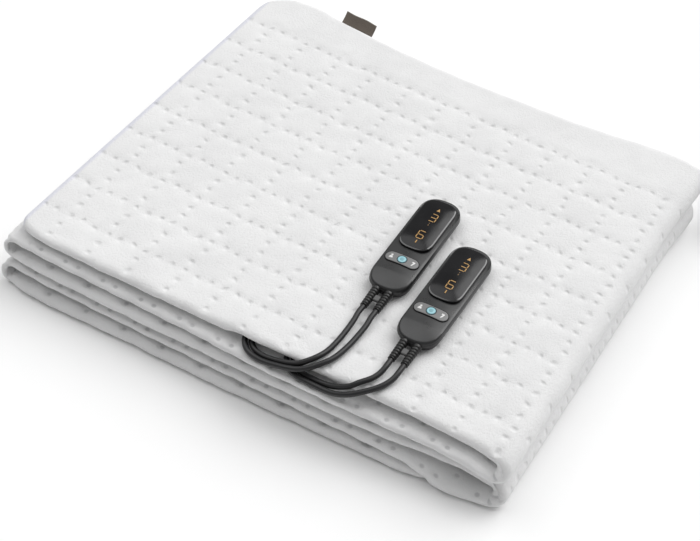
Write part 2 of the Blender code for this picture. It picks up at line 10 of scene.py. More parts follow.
import bmesh
import bpy
import numpy as np
from mathutils import Matrix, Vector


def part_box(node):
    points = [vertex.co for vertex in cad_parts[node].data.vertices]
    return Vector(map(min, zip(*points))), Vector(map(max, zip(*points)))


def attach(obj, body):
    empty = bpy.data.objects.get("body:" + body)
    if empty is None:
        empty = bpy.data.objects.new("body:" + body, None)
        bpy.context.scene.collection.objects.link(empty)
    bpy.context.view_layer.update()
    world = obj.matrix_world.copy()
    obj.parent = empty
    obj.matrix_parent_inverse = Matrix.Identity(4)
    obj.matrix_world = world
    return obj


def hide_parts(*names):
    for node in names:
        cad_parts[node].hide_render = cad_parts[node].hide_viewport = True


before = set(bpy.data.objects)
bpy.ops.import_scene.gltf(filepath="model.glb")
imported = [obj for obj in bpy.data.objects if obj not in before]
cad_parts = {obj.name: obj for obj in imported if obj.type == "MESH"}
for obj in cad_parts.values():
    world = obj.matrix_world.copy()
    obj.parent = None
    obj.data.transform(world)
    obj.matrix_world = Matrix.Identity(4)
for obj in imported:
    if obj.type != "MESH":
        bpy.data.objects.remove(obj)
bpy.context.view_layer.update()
MM = 0.001

# ---------------------------------------------------------------- sizes shared with the CAD
CLOTH_HALF = 5.1  # half the thickness of the quilted cloth
NOSE = 6.5  # how far in from an edge its rounding reaches
PITCH = 41.3  # side of a quilted square
CHANNEL = (-24.0, -15.0, 46.0, 55.0)  # x where the hollow for the leads starts, is full, and ends
CHANNEL_RISE = 3.8  # how much thinner the top layer is over the leads, from below
MOUTH_LIFT = 1.6  # how far the leads lift the top layer's front edge

# Sections of the five layers: x, height of the mid-surface, front edge (y), back edge (y)
LAYERS = (
    (
        (-251.5, 56.2, -199.0, 188.0), (-246.0, 56.4, -206.0, 205.0), (-236.0, 56.4, -210.5, 215.0),
        (-222.0, 56.2, -212.5, 221.5), (-200.0, 55.6, -213.0, 223.0), (-160.0, 54.9, -212.6, 216.5),
        (-108.0, 54.4, -212.2, 209.5), (-45.0, 54.3, -211.8, 203.7), (15.0, 54.3, -211.3, 201.0),
        (97.0, 54.3, -210.6, 200.6), (150.0, 54.5, -210.0, 203.0), (200.0, 54.9, -209.8, 206.6),
        (222.0, 55.0, -210.5, 206.0), (235.3, 55.0, -213.0, 203.5),
    ),
    (
        (235.3, 36.0, -222.0, 196.0), (215.0, 38.0, -220.5, 200.0), (195.0, 39.6, -219.7, 203.0),
        (150.0, 41.0, -221.3, 200.0), (97.0, 41.5, -223.6, 197.5), (15.0, 41.6, -224.0, 198.0),
        (-45.0, 41.7, -221.5, 201.0), (-108.0, 41.9, -220.3, 206.0), (-160.0, 42.8, -220.0, 213.0),
        (-200.0, 44.2, -220.0, 219.0), (-230.0, 45.1, -220.0, 215.0), (-246.7, 45.2, -218.0, 205.0),
    ),
    (
        (-246.7, 30.7, -223.0, 205.0), (-230.0, 30.6, -225.5, 214.0), (-200.0, 30.3, -226.0, 218.0),
        (-108.0, 29.6, -226.5, 205.0), (-45.0, 29.4, -225.6, 202.0), (15.0, 29.4, -225.4, 200.0),
        (97.0, 29.3, -224.8, 199.0), (150.0, 29.2, -222.0, 200.0), (185.0, 28.4, -217.0, 202.0),
        (205.0, 27.0, -214.0, 202.0), (220.0, 25.8, -213.0, 200.0), (235.3, 24.9, -213.0, 196.0),
    ),
    (
        (235.3, 5.1, -222.5, 196.0), (224.0, 5.1, -224.5, 199.0), (214.0, 5.3, -227.0, 200.0),
        (204.0, 7.4, -228.5, 201.0), (194.0, 10.2, -229.0, 201.0), (184.0, 12.8, -229.0, 201.0),
        (172.0, 15.2, -228.5, 201.0), (158.0, 16.7, -227.5, 200.0), (140.0, 17.2, -227.0, 200.0),
        (97.0, 17.2, -227.0, 199.0), (15.0, 17.2, -227.2, 200.0), (-45.0, 17.2, -227.0, 202.0),
        (-108.0, 17.4, -227.0, 205.0), (-200.0, 18.6, -227.0, 217.0), (-230.0, 19.4, -226.5, 213.0),
        (-247.3, 19.5, -225.0, 204.0),
    ),
    (
        (-247.3, 5.1, -230.0, 204.0), (-230.0, 5.1, -234.5, 212.0), (-200.0, 5.1, -235.5, 216.0),
        (-108.0, 5.1, -233.5, 205.0), (-45.0, 5.1, -233.5, 202.0), (15.0, 5.1, -232.5, 200.0),
        (97.0, 5.1, -230.5, 199.0), (150.0, 5.1, -229.0, 199.0), (172.0, 5.1, -227.0, 196.0),
        (184.0, 5.1, -223.0, 188.0),
    ),
)
# Bends after the layers: side, how far the cloth's edges draw in there at front and back
BENDS = ((1, 0.0, -1.0), (-1, -1.5, 10.0), (1, 0.0, 9.0), (-1, -2.0, 10.0))

# Extra thickness under the cloth where the two right-hand loops close from inside: by block, (x, extra)
LOOP_FILL = {
    0: ((196.0, 0.0), (206.0, 0.5), (214.0, 1.6), (222.0, 3.6), (229.0, 6.2), (235.3, 8.6)),
    4: ((190.0, 0.0), (204.0, 0.7), (214.0, 2.2), (222.0, 4.4), (229.0, 7.0), (235.3, 9.4)),
}
# Row number of the quilting at a cloth's front edge, by half its block's number, and for the others
DOT_ROWS, OTHER_DOT_ROW = {1: 9.14, 3: 9.13}, 8.909
DOT_SHIFT = {0: 0.0, 2: -0.48, 4: 0.035, 6: -0.235, 8: 0.3}  # of a nose's dots along it, by block, in squares

# The handsets, in millimetres from the middle of the CAD's base shell: x across, y towards the display
HANDSET_TURN = {"a": 1.8, "b": 0.9}  # degrees
BODY = (40.0, 126.6)  # width and length of the cover
SPLIT, SHOULDER, RIM = 7.0, 15.0, 11.8  # heights of the shells' joint, the top and the rim round the lens
LENS, LENS_Y, LENS_TOP = (31.5, 67.4), 23.0, 18.5
LENS_CROWN = 1.25  # how far the lens falls from its middle line to its long sides
KEY_Y, PLATE, KEY_RADIUS, KEY_PROUD = -27.4, (31.4, 11.0), 4.5, 0.7
KEY_STEPS = 48  # points round the key
RELIEF_LONG, RELIEF_X, RELIEF_Z = 22.0, 6.1, 6.5
LEAD = 5.0  # diameter of every lead
COIL_MEAN = 28.0  # radius at the middle of a coil's turns
LEVEL = 5.1  # height of one level of a coil's turns
COIL_STEPS = 26  # points to a turn
TAIL = 0.33  # last part of a coil's final turn, which eases up to the plug
ROUTE_STEP = 2.6  # distance between the points that a lead is drawn through
# Coils: centre x, y, the side that the plug lies on, the side that the lead comes to
COILS = {"a": (302.0, 279.0, 1, -1), "b": (302.0, 210.5, -1, 1)}
TURNS = {"a": 5.25, "b": 5.75}

BLANKET_LEADS = {
    "a": (
        (67.6, -151.0, 64.7), (67.9, -165.0, 63.2), (67.5, -180.0, 62.5), (66.0, -193.0, 62.4),
        (63.0, -203.0, 63.2), (58.0, -210.0, 62.0), (51.0, -214.2, 58.2), (43.0, -216.3, 55.7),
        (34.0, -216.9, 53.0), (25.0, -216.9, 50.8), (17.0, -216.6, 49.7), (6.9, -213.9, 49.5),
        (-0.6, -206.4, 49.5), (-3.3, -196.0, 49.5), (-3.3, -170.0, 49.5), (-3.3, -90.0, 49.5),
    ),
    "b": (
        (116.2, -192.0, 64.4), (113.6, -198.8, 63.6), (109.4, -204.8, 63.1), (105.3, -209.3, 62.2),
        (100.5, -213.0, 59.0), (92.0, -215.6, 55.0), (83.0, -216.2, 51.6), (73.0, -216.1, 49.8),
        (65.0, -215.9, 49.5), (57.0, -215.6, 49.5), (48.5, -213.1, 49.5), (41.2, -205.8, 49.5),
        (38.5, -195.8, 49.5), (38.5, -170.0, 49.5), (38.5, -90.0, 49.5),
    ),
}
MAINS_LEADS = {
    "a": (
        (79.7, -151.0, 64.7), (79.2, -165.0, 63.2), (77.7, -182.0, 62.5), (74.5, -197.5, 62.6),
        (69.5, -207.0, 62.4), (62.5, -214.5, 60.2), (53.5, -219.5, 57.3), (44.0, -221.8, 55.4),
        (34.0, -222.3, 52.9), (25.0, -222.3, 50.8), (17.0, -222.0, 49.7), (3.9, -219.1, 49.6),
        (-5.8, -209.5, 49.6), (-9.1, -196.0, 49.5), (-9.1, -170.0, 49.5), (-9.1, 20.0, 49.5),
        (-9.1, 180.0, 49.5), (-9.1, 195.0, 49.9), (-9.1, 207.0, 45.8), (-8.5, 214.8, 38.0),
        (-7.5, 219.0, 26.5), (-3.0, 222.5, 14.0), (8.0, 226.0, 5.6), (24.0, 229.0, 3.0),
        (44.0, 230.0, 2.8), (100.0, 231.0, 2.8), (150.0, 237.0, 2.8), (200.0, 246.0, 2.8),
        (232.0, 249.3, 2.8), (262.0, 249.3, 2.8),
    ),
    "b": (
        (128.3, -192.3, 64.4), (125.0, -200.5, 63.4), (119.6, -208.0, 62.3), (112.0, -214.2, 59.8),
        (102.5, -219.4, 55.9), (92.0, -221.5, 52.0), (82.0, -221.7, 50.0), (73.0, -221.5, 49.6),
        (65.0, -221.3, 49.5), (57.0, -221.0, 49.5), (45.4, -218.3, 49.6), (35.9, -208.8, 49.6),
        (32.6, -195.8, 49.5), (32.6, -170.0, 49.5), (32.6, 20.0, 49.5),
        (32.6, 180.0, 49.5), (32.6, 195.0, 49.9), (32.6, 206.5, 45.8), (33.3, 213.6, 38.0),
        (34.3, 217.0, 26.5), (38.8, 219.0, 14.0), (49.8, 221.0, 5.6), (66.0, 222.2, 3.0),
        (86.0, 222.5, 2.8), (120.0, 224.5, 2.8), (160.0, 231.5, 2.8), (205.0, 241.0, 2.8),
        (235.0, 243.8, 2.8), (262.0, 243.0, 2.8),
    ),
}


# ---------------------------------------------------------------- camera
VIEW_TURNS = (28.688, 45.122, 2.802)  # degrees: round from the front, down from level, and roll
CAMERA_AT = (0.4800, -0.9170, 0.9960)  # metres
SENSOR, FOCAL = 36.0, 77.142857


def camera():
    """Looks down on the front left, slightly rolled: right, up and back axes as matrix columns."""
    azimuth, elevation, roll = (math.radians(a) for a in VIEW_TURNS)
    ahead = np.array((
        -math.sin(azimuth) * math.cos(elevation),
        math.cos(azimuth) * math.cos(elevation),
        -math.sin(elevation),
    ))
    level = np.array((math.cos(azimuth), math.sin(azimuth), 0.0))
    upright = np.cross(level, ahead)
    right = level * math.cos(roll) + upright * math.sin(roll)
    up = -level * math.sin(roll) + upright * math.cos(roll)
    data = bpy.data.cameras.new("camera")
    data.sensor_width, data.lens = SENSOR, FOCAL
    data.clip_start, data.clip_end = 0.05, 20.0
    item = bpy.data.objects.new("camera", data)
    bpy.context.scene.collection.objects.link(item)
    place = np.eye(4)
    place[:3, 0], place[:3, 1], place[:3, 2], place[:3, 3] = right, up, -ahead, CAMERA_AT
    item.matrix_world = Matrix(place.tolist())
    bpy.context.scene.camera = item


# ---------------------------------------------------------------- material tools
def material(name, colour, roughness, **sockets):
    """A new node material: the Principled shader's plain sockets are set here as constants."""
    made = bpy.data.materials.new(name)
    made.use_nodes = True
    shader = made.node_tree.nodes["Principled BSDF"]
    shader.inputs["Base Color"].default_value = (*colour, 1.0)
    shader.inputs["Roughness"].default_value = roughness
    for key, value in sockets.items():
        shader.inputs[key.replace("_", " ")].default_value = value
    return made


def node(tree, kind, **values):
    """Adds a shader node: attributes by name, and input sockets as a dict of name or index to value."""
    made = tree.nodes.new(kind)
    for key, value in values.items():
        if key == "inputs":
            for slot, number in value.items():
                made.inputs[slot].default_value = number
        else:
            setattr(made, key, value)
    return made


def maths(tree, operation, first, second=None, third=None):
    """A Math node on sockets or numbers, and its result."""
    made = node(tree, "ShaderNodeMath", operation=operation)
    for k, value in enumerate((first, second, third)):
        if value is None:
            continue
        if isinstance(value, (int, float)):
            made.inputs[k].default_value = value
        else:
            tree.links.new(value, made.inputs[k])
    return made.outputs[0]


def span(tree, value, low, high, to_low=0.0, to_high=1.0):
    """Maps a value from one range to another, eased at both ends and clamped."""
    made = node(tree, "ShaderNodeMapRange", interpolation_type="SMOOTHSTEP")
    for slot, number in zip(("From Min", "From Max", "To Min", "To Max"), (low, high, to_low, to_high)):
        made.inputs[slot].default_value = number
    tree.links.new(value, made.inputs["Value"])
    return made.outputs["Result"]


def blend_colours(tree, share, first, second):
    """Mixes two colours, each a socket or a tuple, by a share."""
    made = node(tree, "ShaderNodeMix", data_type="RGBA")
    for slot, value in ((0, share), (6, first), (7, second)):
        if isinstance(value, tuple):
            made.inputs[slot].default_value = (*value, 1.0)
        elif isinstance(value, (int, float)):
            made.inputs[slot].default_value = value
        else:
            tree.links.new(value, made.inputs[slot])
    return made.outputs[2]


def group(name, inputs, outputs):
    """An empty shader node group with named sockets: inputs as name to default, outputs as names."""
    tree = bpy.data.node_groups.new(name, "ShaderNodeTree")
    for label, value in inputs.items():
        kind = "NodeSocketVector" if value is None else "NodeSocketFloat"
        made = tree.interface.new_socket(name=label, in_out="INPUT", socket_type=kind)
        if value is not None:
            made.default_value = value
    for label in outputs:
        tree.interface.new_socket(name=label, in_out="OUTPUT", socket_type="NodeSocketFloat")
    return tree, tree.nodes.new("NodeGroupInput").outputs, tree.nodes.new("NodeGroupOutput").inputs


def place_group(tree, made, **values):
    """Puts a node group in a material's tree, with sockets or numbers for its inputs."""
    item = node(tree, "ShaderNodeGroup")
    item.node_tree = made
    for label, value in values.items():
        slot = item.inputs[label.replace("_", " ")]
        if isinstance(value, (int, float)):
            slot.default_value = value
        else:
            tree.links.new(value, slot)
    return item.outputs


def raised(tree, height, strength, distance):
    """A Bump node on a height, wired to the Principled shader's normal."""
    bump = node(tree, "ShaderNodeBump", inputs={"Strength": strength, "Distance": distance})
    tree.links.new(height, bump.inputs["Height"])
    tree.links.new(bump.outputs["Normal"], tree.nodes["Principled BSDF"].inputs["Normal"])


def nap_group():
    """Short brushed pile: two sizes of noise, one drawn out along a slant, as height and as shade."""
    tree, given, out = group("brushed nap", {"Vector": None, "Size": 1.4}, ("Height", "Shade"))
    scale = maths(tree, "DIVIDE", 1000.0, given["Size"])
    tufts = node(tree, "ShaderNodeTexNoise", inputs={"Detail": 4.0, "Roughness": 0.7})
    tree.links.new(given["Vector"], tufts.inputs["Vector"])
    tree.links.new(scale, tufts.inputs["Scale"])
    slant = node(tree, "ShaderNodeMapping", inputs={"Rotation": (0.0, 0.0, 0.5), "Scale": (1.0, 0.3, 1.0)})
    tree.links.new(given["Vector"], slant.inputs["Vector"])
    hairs = node(tree, "ShaderNodeTexNoise", inputs={"Detail": 3.0, "Roughness": 0.65, "Distortion": 0.8})
    tree.links.new(slant.outputs[0], hairs.inputs["Vector"])
    tree.links.new(maths(tree, "MULTIPLY", scale, 2.6), hairs.inputs["Scale"])
    cloud = node(tree, "ShaderNodeTexNoise", inputs={"Scale": 24.0, "Detail": 3.0})
    tree.links.new(given["Vector"], cloud.inputs["Vector"])
    height = maths(tree, "MULTIPLY_ADD", hairs.outputs[0], 0.55, tufts.outputs[0])
    tree.links.new(height, out["Height"])
    clouded = span(tree, cloud.outputs[0], 0.3, 0.7)
    shade = maths(tree, "MULTIPLY_ADD", span(tree, height, 0.45, 1.0), 0.6, clouded)
    tree.links.new(maths(tree, "DIVIDE", shade, 1.6), out["Shade"])
    return tree


def stitch_group():
    """Pressed dots of the quilting: distance, in squares, to the nearest dot of a row or a column.

    A square has three dots to a side. The third number of Quilt hides the dots at the crossings where it
    is 1, and every dot where it is 2.
    """
    tree, given, out = group("quilting dots", {"Quilt": None, "Radius": 0.05}, ("Dot", "Dimple"))
    split = node(tree, "ShaderNodeSeparateXYZ")
    tree.links.new(given["Quilt"], split.inputs[0])
    across, along, bare = split.outputs

    def to_whole(value, divisions):
        """Distance from a value to the nearest whole part of a division."""
        scaled = maths(tree, "MULTIPLY", value, float(divisions))
        near = maths(tree, "SUBTRACT", scaled, maths(tree, "ROUND", scaled))
        return maths(tree, "DIVIDE", near, float(divisions))

    def reach(a, b):
        """Length of the slanting side over a and b."""
        return maths(tree, "SQRT", maths(tree, "MULTIPLY_ADD", a, a, maths(tree, "MULTIPLY", b, b)))

    whole_across, whole_along = to_whole(across, 1), to_whole(along, 1)
    crossing = reach(whole_across, whole_along)
    third_across, third_along = to_whole(across, 3), to_whole(along, 3)
    in_row = reach(third_across, whole_along)
    in_column = reach(whole_across, third_along)
    nearest = maths(tree, "MINIMUM", in_row, in_column)
    hidden = maths(tree, "MULTIPLY", bare, maths(tree, "LESS_THAN", crossing, 0.16))
    nearest = maths(tree, "ADD", nearest, hidden)
    nearest = maths(tree, "ADD", nearest, maths(tree, "GREATER_THAN", bare, 1.1))
    ratio = maths(tree, "DIVIDE", nearest, given["Radius"])
    tree.links.new(span(tree, ratio, 0.35, 1.0, 1.0, 0.0), out["Dot"])
    tree.links.new(span(tree, ratio, 0.0, 2.0, 1.0, 0.0), out["Dimple"])
    return tree


def grain_group():
    """Fine spark-eroded grain of moulded plastic: tiny cells, and slow changes of gloss."""
    tree, given, out = group("moulded grain", {"Vector": None, "Size": 0.35}, ("Height", "Gloss"))
    cells = node(tree, "ShaderNodeTexVoronoi")
    tree.links.new(given["Vector"], cells.inputs["Vector"])
    tree.links.new(maths(tree, "DIVIDE", 1000.0, given["Size"]), cells.inputs["Scale"])
    tree.links.new(cells.outputs["Distance"], out["Height"])
    slow = node(tree, "ShaderNodeTexNoise", inputs={"Scale": 60.0, "Detail": 4.0})
    tree.links.new(given["Vector"], slow.inputs["Vector"])
    tree.links.new(slow.outputs[0], out["Gloss"])
    return tree


NAP, STITCHES, GRAIN = nap_group(), stitch_group(), grain_group()


def coordinates(tree):
    """The piece's own coordinates, in metres."""
    return node(tree, "ShaderNodeTexCoord").outputs["Object"]


def fleece_material():
    """White brushed fleece, pressed down at each dot, with painted shade darkening each dot's pit, deepest on
    the front noses, and a cooler tape at its hem.
    """
    made = material("white fleece", (0.83, 0.83, 0.83), 0.95, Sheen_Weight=0.1, Sheen_Roughness=0.6,
                    Specular_IOR_Level=0.1)
    tree = made.node_tree
    where = coordinates(tree)
    nap = place_group(tree, NAP, Vector=where, Size=2.2)
    quilt = node(tree, "ShaderNodeAttribute", attribute_name="quilt").outputs["Vector"]
    nose = node(tree, "ShaderNodeAttribute", attribute_name="nose").outputs["Fac"]
    radius = maths(tree, "MULTIPLY_ADD", nose, 0.03, 0.046)
    dots = place_group(tree, STITCHES, Quilt=quilt, Radius=radius)
    hem = node(tree, "ShaderNodeAttribute", attribute_name="hem").outputs["Fac"]
    cloth = blend_colours(tree, nap["Shade"], (0.79, 0.79, 0.792), (0.85, 0.85, 0.85))
    cloth = blend_colours(tree, hem, cloth, (0.72, 0.725, 0.79))
    # Painted shade: each dot's pit is mixed towards dark grey, by up to 0.15 in noise patches and by 0.43
    # more on the front noses
    dot_shade_patches = node(tree, "ShaderNodeTexNoise", inputs={"Scale": 34.0, "Detail": 1.0})
    tree.links.new(where, dot_shade_patches.inputs["Vector"])
    depth = maths(tree, "MULTIPLY_ADD", nose, 0.43, span(tree, dot_shade_patches.outputs[0], 0.38, 0.64, 0.0, 0.15))
    # The cloth's colour with that painted shade mixed into the dots
    pressed = blend_colours(tree, maths(tree, "MULTIPLY", dots["Dot"], depth), cloth, (0.42, 0.42, 0.43))
    tree.links.new(pressed, tree.nodes["Principled BSDF"].inputs["Base Color"])
    height = maths(tree, "SUBTRACT", nap["Height"], maths(tree, "MULTIPLY", dots["Dimple"], 1.5))
    raised(tree, height, 0.8, 0.0009)
    return made


def plastic_material(name, colour, roughness, grain=0.3, depth=0.00003, **sockets):
    """Moulded plastic with a fine grain and uneven gloss."""
    made = material(name, colour, roughness, **sockets)
    tree = made.node_tree
    out = place_group(tree, GRAIN, Vector=coordinates(tree), Size=grain)
    raised(tree, out["Height"], 0.35, depth)
    gloss = span(tree, out["Gloss"], 0.3, 0.7, roughness - 0.04, roughness + 0.05)
    tree.links.new(gloss, tree.nodes["Principled BSDF"].inputs["Roughness"])
    return made


def tape_material():
    """Woven tape: fine crossing ribs, lighter and darker by turns."""
    made = material("taupe woven tape", (0.16, 0.13, 0.105), 0.8, Sheen_Weight=0.2)
    tree = made.node_tree
    split = node(tree, "ShaderNodeSeparateXYZ")
    tree.links.new(coordinates(tree), split.inputs[0])
    warp = maths(tree, "SINE", maths(tree, "MULTIPLY", split.outputs[0], 9000.0))
    weft = maths(tree, "SINE", maths(tree, "MULTIPLY", split.outputs[2], 9000.0))
    weave = maths(tree, "MULTIPLY", warp, weft)
    share = span(tree, weave, -0.6, 0.6)
    colour = blend_colours(tree, share, (0.12, 0.098, 0.08), (0.2, 0.165, 0.135))
    tree.links.new(colour, tree.nodes["Principled BSDF"].inputs["Base Color"])
    raised(tree, weave, 0.5, 0.0001)
    return made


# ---------------------------------------------------------------- mesh tools
def add(name, vertices, faces, finish, smooth=True):
    """A new piece from vertices in millimetres and faces, shaded smooth but for its sharp edges."""
    mesh = bpy.data.meshes.new(name)
    mesh.from_pydata((np.asarray(vertices, float).reshape(-1, 3) * MM).tolist(), [], faces)
    mesh.update()
    tidy = bmesh.new()
    tidy.from_mesh(mesh)
    bmesh.ops.recalc_face_normals(tidy, faces=tidy.faces)
    tidy.to_mesh(mesh)
    tidy.free()
    if smooth:
        mesh.shade_smooth()
        mesh.set_sharp_from_angle(angle=math.radians(38))
    item = bpy.data.objects.new(name, mesh)
    bpy.context.scene.collection.objects.link(item)
    mesh.materials.append(finish)
    return item


def quads(index, wrap=False):
    """Faces of a grid of vertex numbers, closed along its second direction if it wraps."""
    if wrap:
        index = np.concatenate([index, index[:, :1]], axis=1)
    corners = (index[:-1, :-1], index[1:, :-1], index[1:, 1:], index[:-1, 1:])
    return np.stack([c.ravel() for c in corners], 1).tolist()


def numbered(rings):
    """The vertex numbers of rings of equal length, one row to a ring."""
    count, long = np.shape(rings)[:2]
    return np.arange(count * long).reshape(count, long)


def loft(name, rings, finish):
    """A closed skin through rings of equal length, with a flat cap at each end."""
    index = numbered(rings)
    return add(name, rings, quads(index, wrap=True) + [index[0, ::-1].tolist(), index[-1].tolist()], finish)


def band(name, rings, finish):
    """A closed skin through rings of equal length whose last ring joins the first, as in a washer."""
    index = numbered(rings)
    return add(name, rings, quads(np.vstack([index, index[:1]]), wrap=True), finish)


def turned(profile, steps, centre, axis="Y"):
    """Rings of a profile of radius, distance rows turned about an axis through centre."""
    profile = np.asarray(profile, float)
    turn = np.linspace(0.0, 2 * math.pi, steps, endpoint=False)
    across = profile[:, :1] * np.cos(turn)
    up = profile[:, :1] * np.sin(turn)
    along = np.broadcast_to(profile[:, 1:], across.shape)
    parts = {"Y": (across, along, up), "Z": (across, up, along)}[axis]
    return np.stack(parts, 2) + np.asarray(centre, float)


def outline(width, length, power=2.4, steps=120, grow=0.0):
    """Plan of a long rounded body: superelliptic half ends, |x|^p + |y|^p = r^p, on straight sides."""
    turn = np.linspace(0.0, 2 * math.pi, steps, endpoint=False) + math.pi / steps
    end = width / 2
    across = np.sign(np.cos(turn)) * np.abs(np.cos(turn)) ** (2 / power)
    along = np.sign(np.sin(turn)) * np.abs(np.sin(turn)) ** (2 / power)
    x = (end + grow) * across
    y = (end + grow) * along + np.sign(np.sin(turn)) * (length / 2 - end)
    return np.column_stack([x, y])


def at_height(plan, z):
    """A plan lifted to a height, as points."""
    return np.column_stack([plan, np.full(len(plan), z)])


def through(points, step):
    """A smooth curve through points, centripetal Catmull-Rom, read off at about every step."""
    points = np.array(points, float)
    ends = np.vstack([2 * points[0] - points[1], points, 2 * points[-1] - points[-2]])
    fine = []
    for a, b, c, d in zip(ends, ends[1:], ends[2:], ends[3:]):
        knots = np.cumsum([0.0] + [np.linalg.norm(q - p) ** 0.5 for p, q in ((a, b), (b, c), (c, d))])
        t = np.linspace(knots[1], knots[2], 12, endpoint=False)[:, None]
        ab = (knots[1] - t) * a / (knots[1] - knots[0]) + (t - knots[0]) * b / (knots[1] - knots[0])
        bc = (knots[2] - t) * b / (knots[2] - knots[1]) + (t - knots[1]) * c / (knots[2] - knots[1])
        cd = (knots[3] - t) * c / (knots[3] - knots[2]) + (t - knots[2]) * d / (knots[3] - knots[2])
        ac = ((knots[2] - t) * ab + (t - knots[0]) * bc) / (knots[2] - knots[0])
        bd = ((knots[3] - t) * bc + (t - knots[1]) * cd) / (knots[3] - knots[1])
        fine.append(((knots[2] - t) * ac + (t - knots[1]) * bd) / (knots[2] - knots[1]))
    fine = np.vstack([*fine, points[-1:]])
    along = np.concatenate([[0.0], np.cumsum(np.linalg.norm(np.diff(fine, axis=0), axis=1))])
    stations = np.linspace(0.0, along[-1], round(along[-1] / step) + 1)
    return np.column_stack([np.interp(stations, along, fine[:, k]) for k in range(3)])


def eased(at, x, value):
    """Cubic through x, value rows with slopes that never overshoot them (Fritsch-Butland slopes)."""
    if x[0] > x[-1]:
        x, value = x[::-1], value[::-1]
    step = np.diff(x)
    rise = np.diff(value) / step
    a, b = rise[:-1], rise[1:]
    weight = (step[:-1] + 2 * step[1:]) / (3 * (step[:-1] + step[1:]))
    with np.errstate(divide="ignore", invalid="ignore"):
        inner = np.where(a * b > 0, a * b / (weight * b + (1 - weight) * a), 0.0)
    slope = np.concatenate([[rise[0]], inner, [rise[-1]]])
    k = np.clip(np.searchsorted(x, at) - 1, 0, len(step) - 1)
    t = (at - x[k]) / step[k]
    return (
        (1 + 2 * t) * (1 - t) ** 2 * value[k]
        + t * (1 - t) ** 2 * step[k] * slope[k]
        + t**2 * (3 - 2 * t) * value[k + 1]
        + t**2 * (t - 1) * step[k] * slope[k + 1]
    )


def smooth_step(value):
    """0 up to 0, 1 from 1 on, and 3t^2 - 2t^3 between."""
    t = np.clip(value, 0.0, 1.0)
    return t * t * (3 - 2 * t)


# ---------------------------------------------------------------- the folded blanket
EDGE_STEPS = np.array((0.0, 0.12, 0.45, 1.0, 1.8, 3.0, 4.6, NOSE))
COLUMN_STEPS = (2.6, 3.1)  # distance between columns on the top layer, and on the others
BEND_STEPS = 14
ROWS = {"fine": 160, "medium": 80, "coarse": 16}  # steps between the front and the back rounding
# Rows of a block's two sides, the one along the section's normal first. Blocks are numbered along the
# section: the layers are 0, 2, 4, 6 and 8, and the bends between them 1, 3, 5 and 7.
ROW_KINDS = {0: ("fine", "coarse"), 1: ("medium", "coarse"), 3: ("coarse", "medium"),
             5: ("medium", "coarse"), 7: ("coarse", "medium")}
RIGHT_BENDS, LEFT_BENDS = (1, 5), (3, 7)
# x of the quilting's columns, left to right
COLUMNS_X = np.array((-259.0, -218.0, -175.0, -133.0, -91.0, -48.5, -8.0,
                      34.0, 74.0, 114.0, 154.0, 193.0, 232.0))
LEFT_X, RIGHT_X = -238.0, 212.0  # between these the dots of a nose are set out from the cloth's front edge
COUNTED_FROM = 222.0  # x on the first layer from which columns are counted along the cloth
HEM_WIDE = 7.0  # width of the cooler tape at the start of the section
DRAWN_IN = 1.25  # how far the quilting draws the cloth in
HIGHEST_WAVE = 0.5
WRINKLE = 0.75  # depth of the slanted wrinkles at the left
DROOP, DROOP_REACH = 6.0, 22.0  # how far the front sinks at the right, and how far back that is felt
PINCH = 2.2  # how much thinner the cloth is inside a left bend
FLOOR_GAP = 0.02


def rounding(distance):
    """Share of the cloth's thickness left at a distance from its edge: a quarter ellipse."""
    t = np.clip(distance / NOSE, 0.0, 1.0)
    return np.sqrt(1.0 - (1.0 - t) ** 2)


def row_rule(kind):
    """Each row as a share of the way from front to back and an offset.

    A row is at y = front + share (back - front) + offset.
    """
    inner = np.linspace(0.0, 1.0, ROWS[kind] + 1)[1:-1]
    share = np.concatenate([np.zeros(len(EDGE_STEPS)), inner, np.ones(len(EDGE_STEPS))])
    offset = np.concatenate([EDGE_STEPS, NOSE * (1 - 2 * inner), -EDGE_STEPS[::-1]])
    return share, offset


def section():
    """Columns of the back-and-forth section: x, z, front, back, layer (0 in a bend), block number."""
    parts = []
    for k, table in enumerate(LAYERS):
        rows = np.array(table)
        long = abs(rows[-1, 0] - rows[0, 0])
        count = int(long / COLUMN_STEPS[k > 0])
        at = np.linspace(rows[0, 0], rows[-1, 0], count)
        if k == 0:
            at = np.concatenate([rows[0, 0] + EDGE_STEPS[:-1], at[at > rows[0, 0] + NOSE - 0.5]])
        if k == len(LAYERS) - 1:
            at = np.concatenate([at[at < rows[-1, 0] - NOSE + 0.5], rows[-1, 0] - EDGE_STEPS[-2::-1]])
        columns = [at] + [eased(at, rows[:, 0], rows[:, j]) for j in (1, 2, 3)]
        parts.append(np.column_stack([*columns, np.full(len(at), k + 1), np.full(len(at), 2 * k)]))
        if k < len(BENDS):
            side, front_in, back_in = BENDS[k]
            start, end = rows[-1], np.array(LAYERS[k + 1][0])
            radius = (start[1] - end[1]) / 2
            share = np.linspace(0.0, 1.0, BEND_STEPS)[1:-1]
            angle = math.pi * share
            parts.append(np.column_stack([
                (start[0] + end[0]) / 2 + side * abs(radius) * np.sin(angle),
                (start[1] + end[1]) / 2 + radius * np.cos(angle),
                start[2] + (end[2] - start[2]) * share + front_in * np.sin(angle),
                start[3] + (end[3] - start[3]) * share - back_in * np.sin(angle),
                np.zeros(len(angle)),
                np.full(len(angle), 2 * k + 1),
            ]))
    return np.vstack(parts)


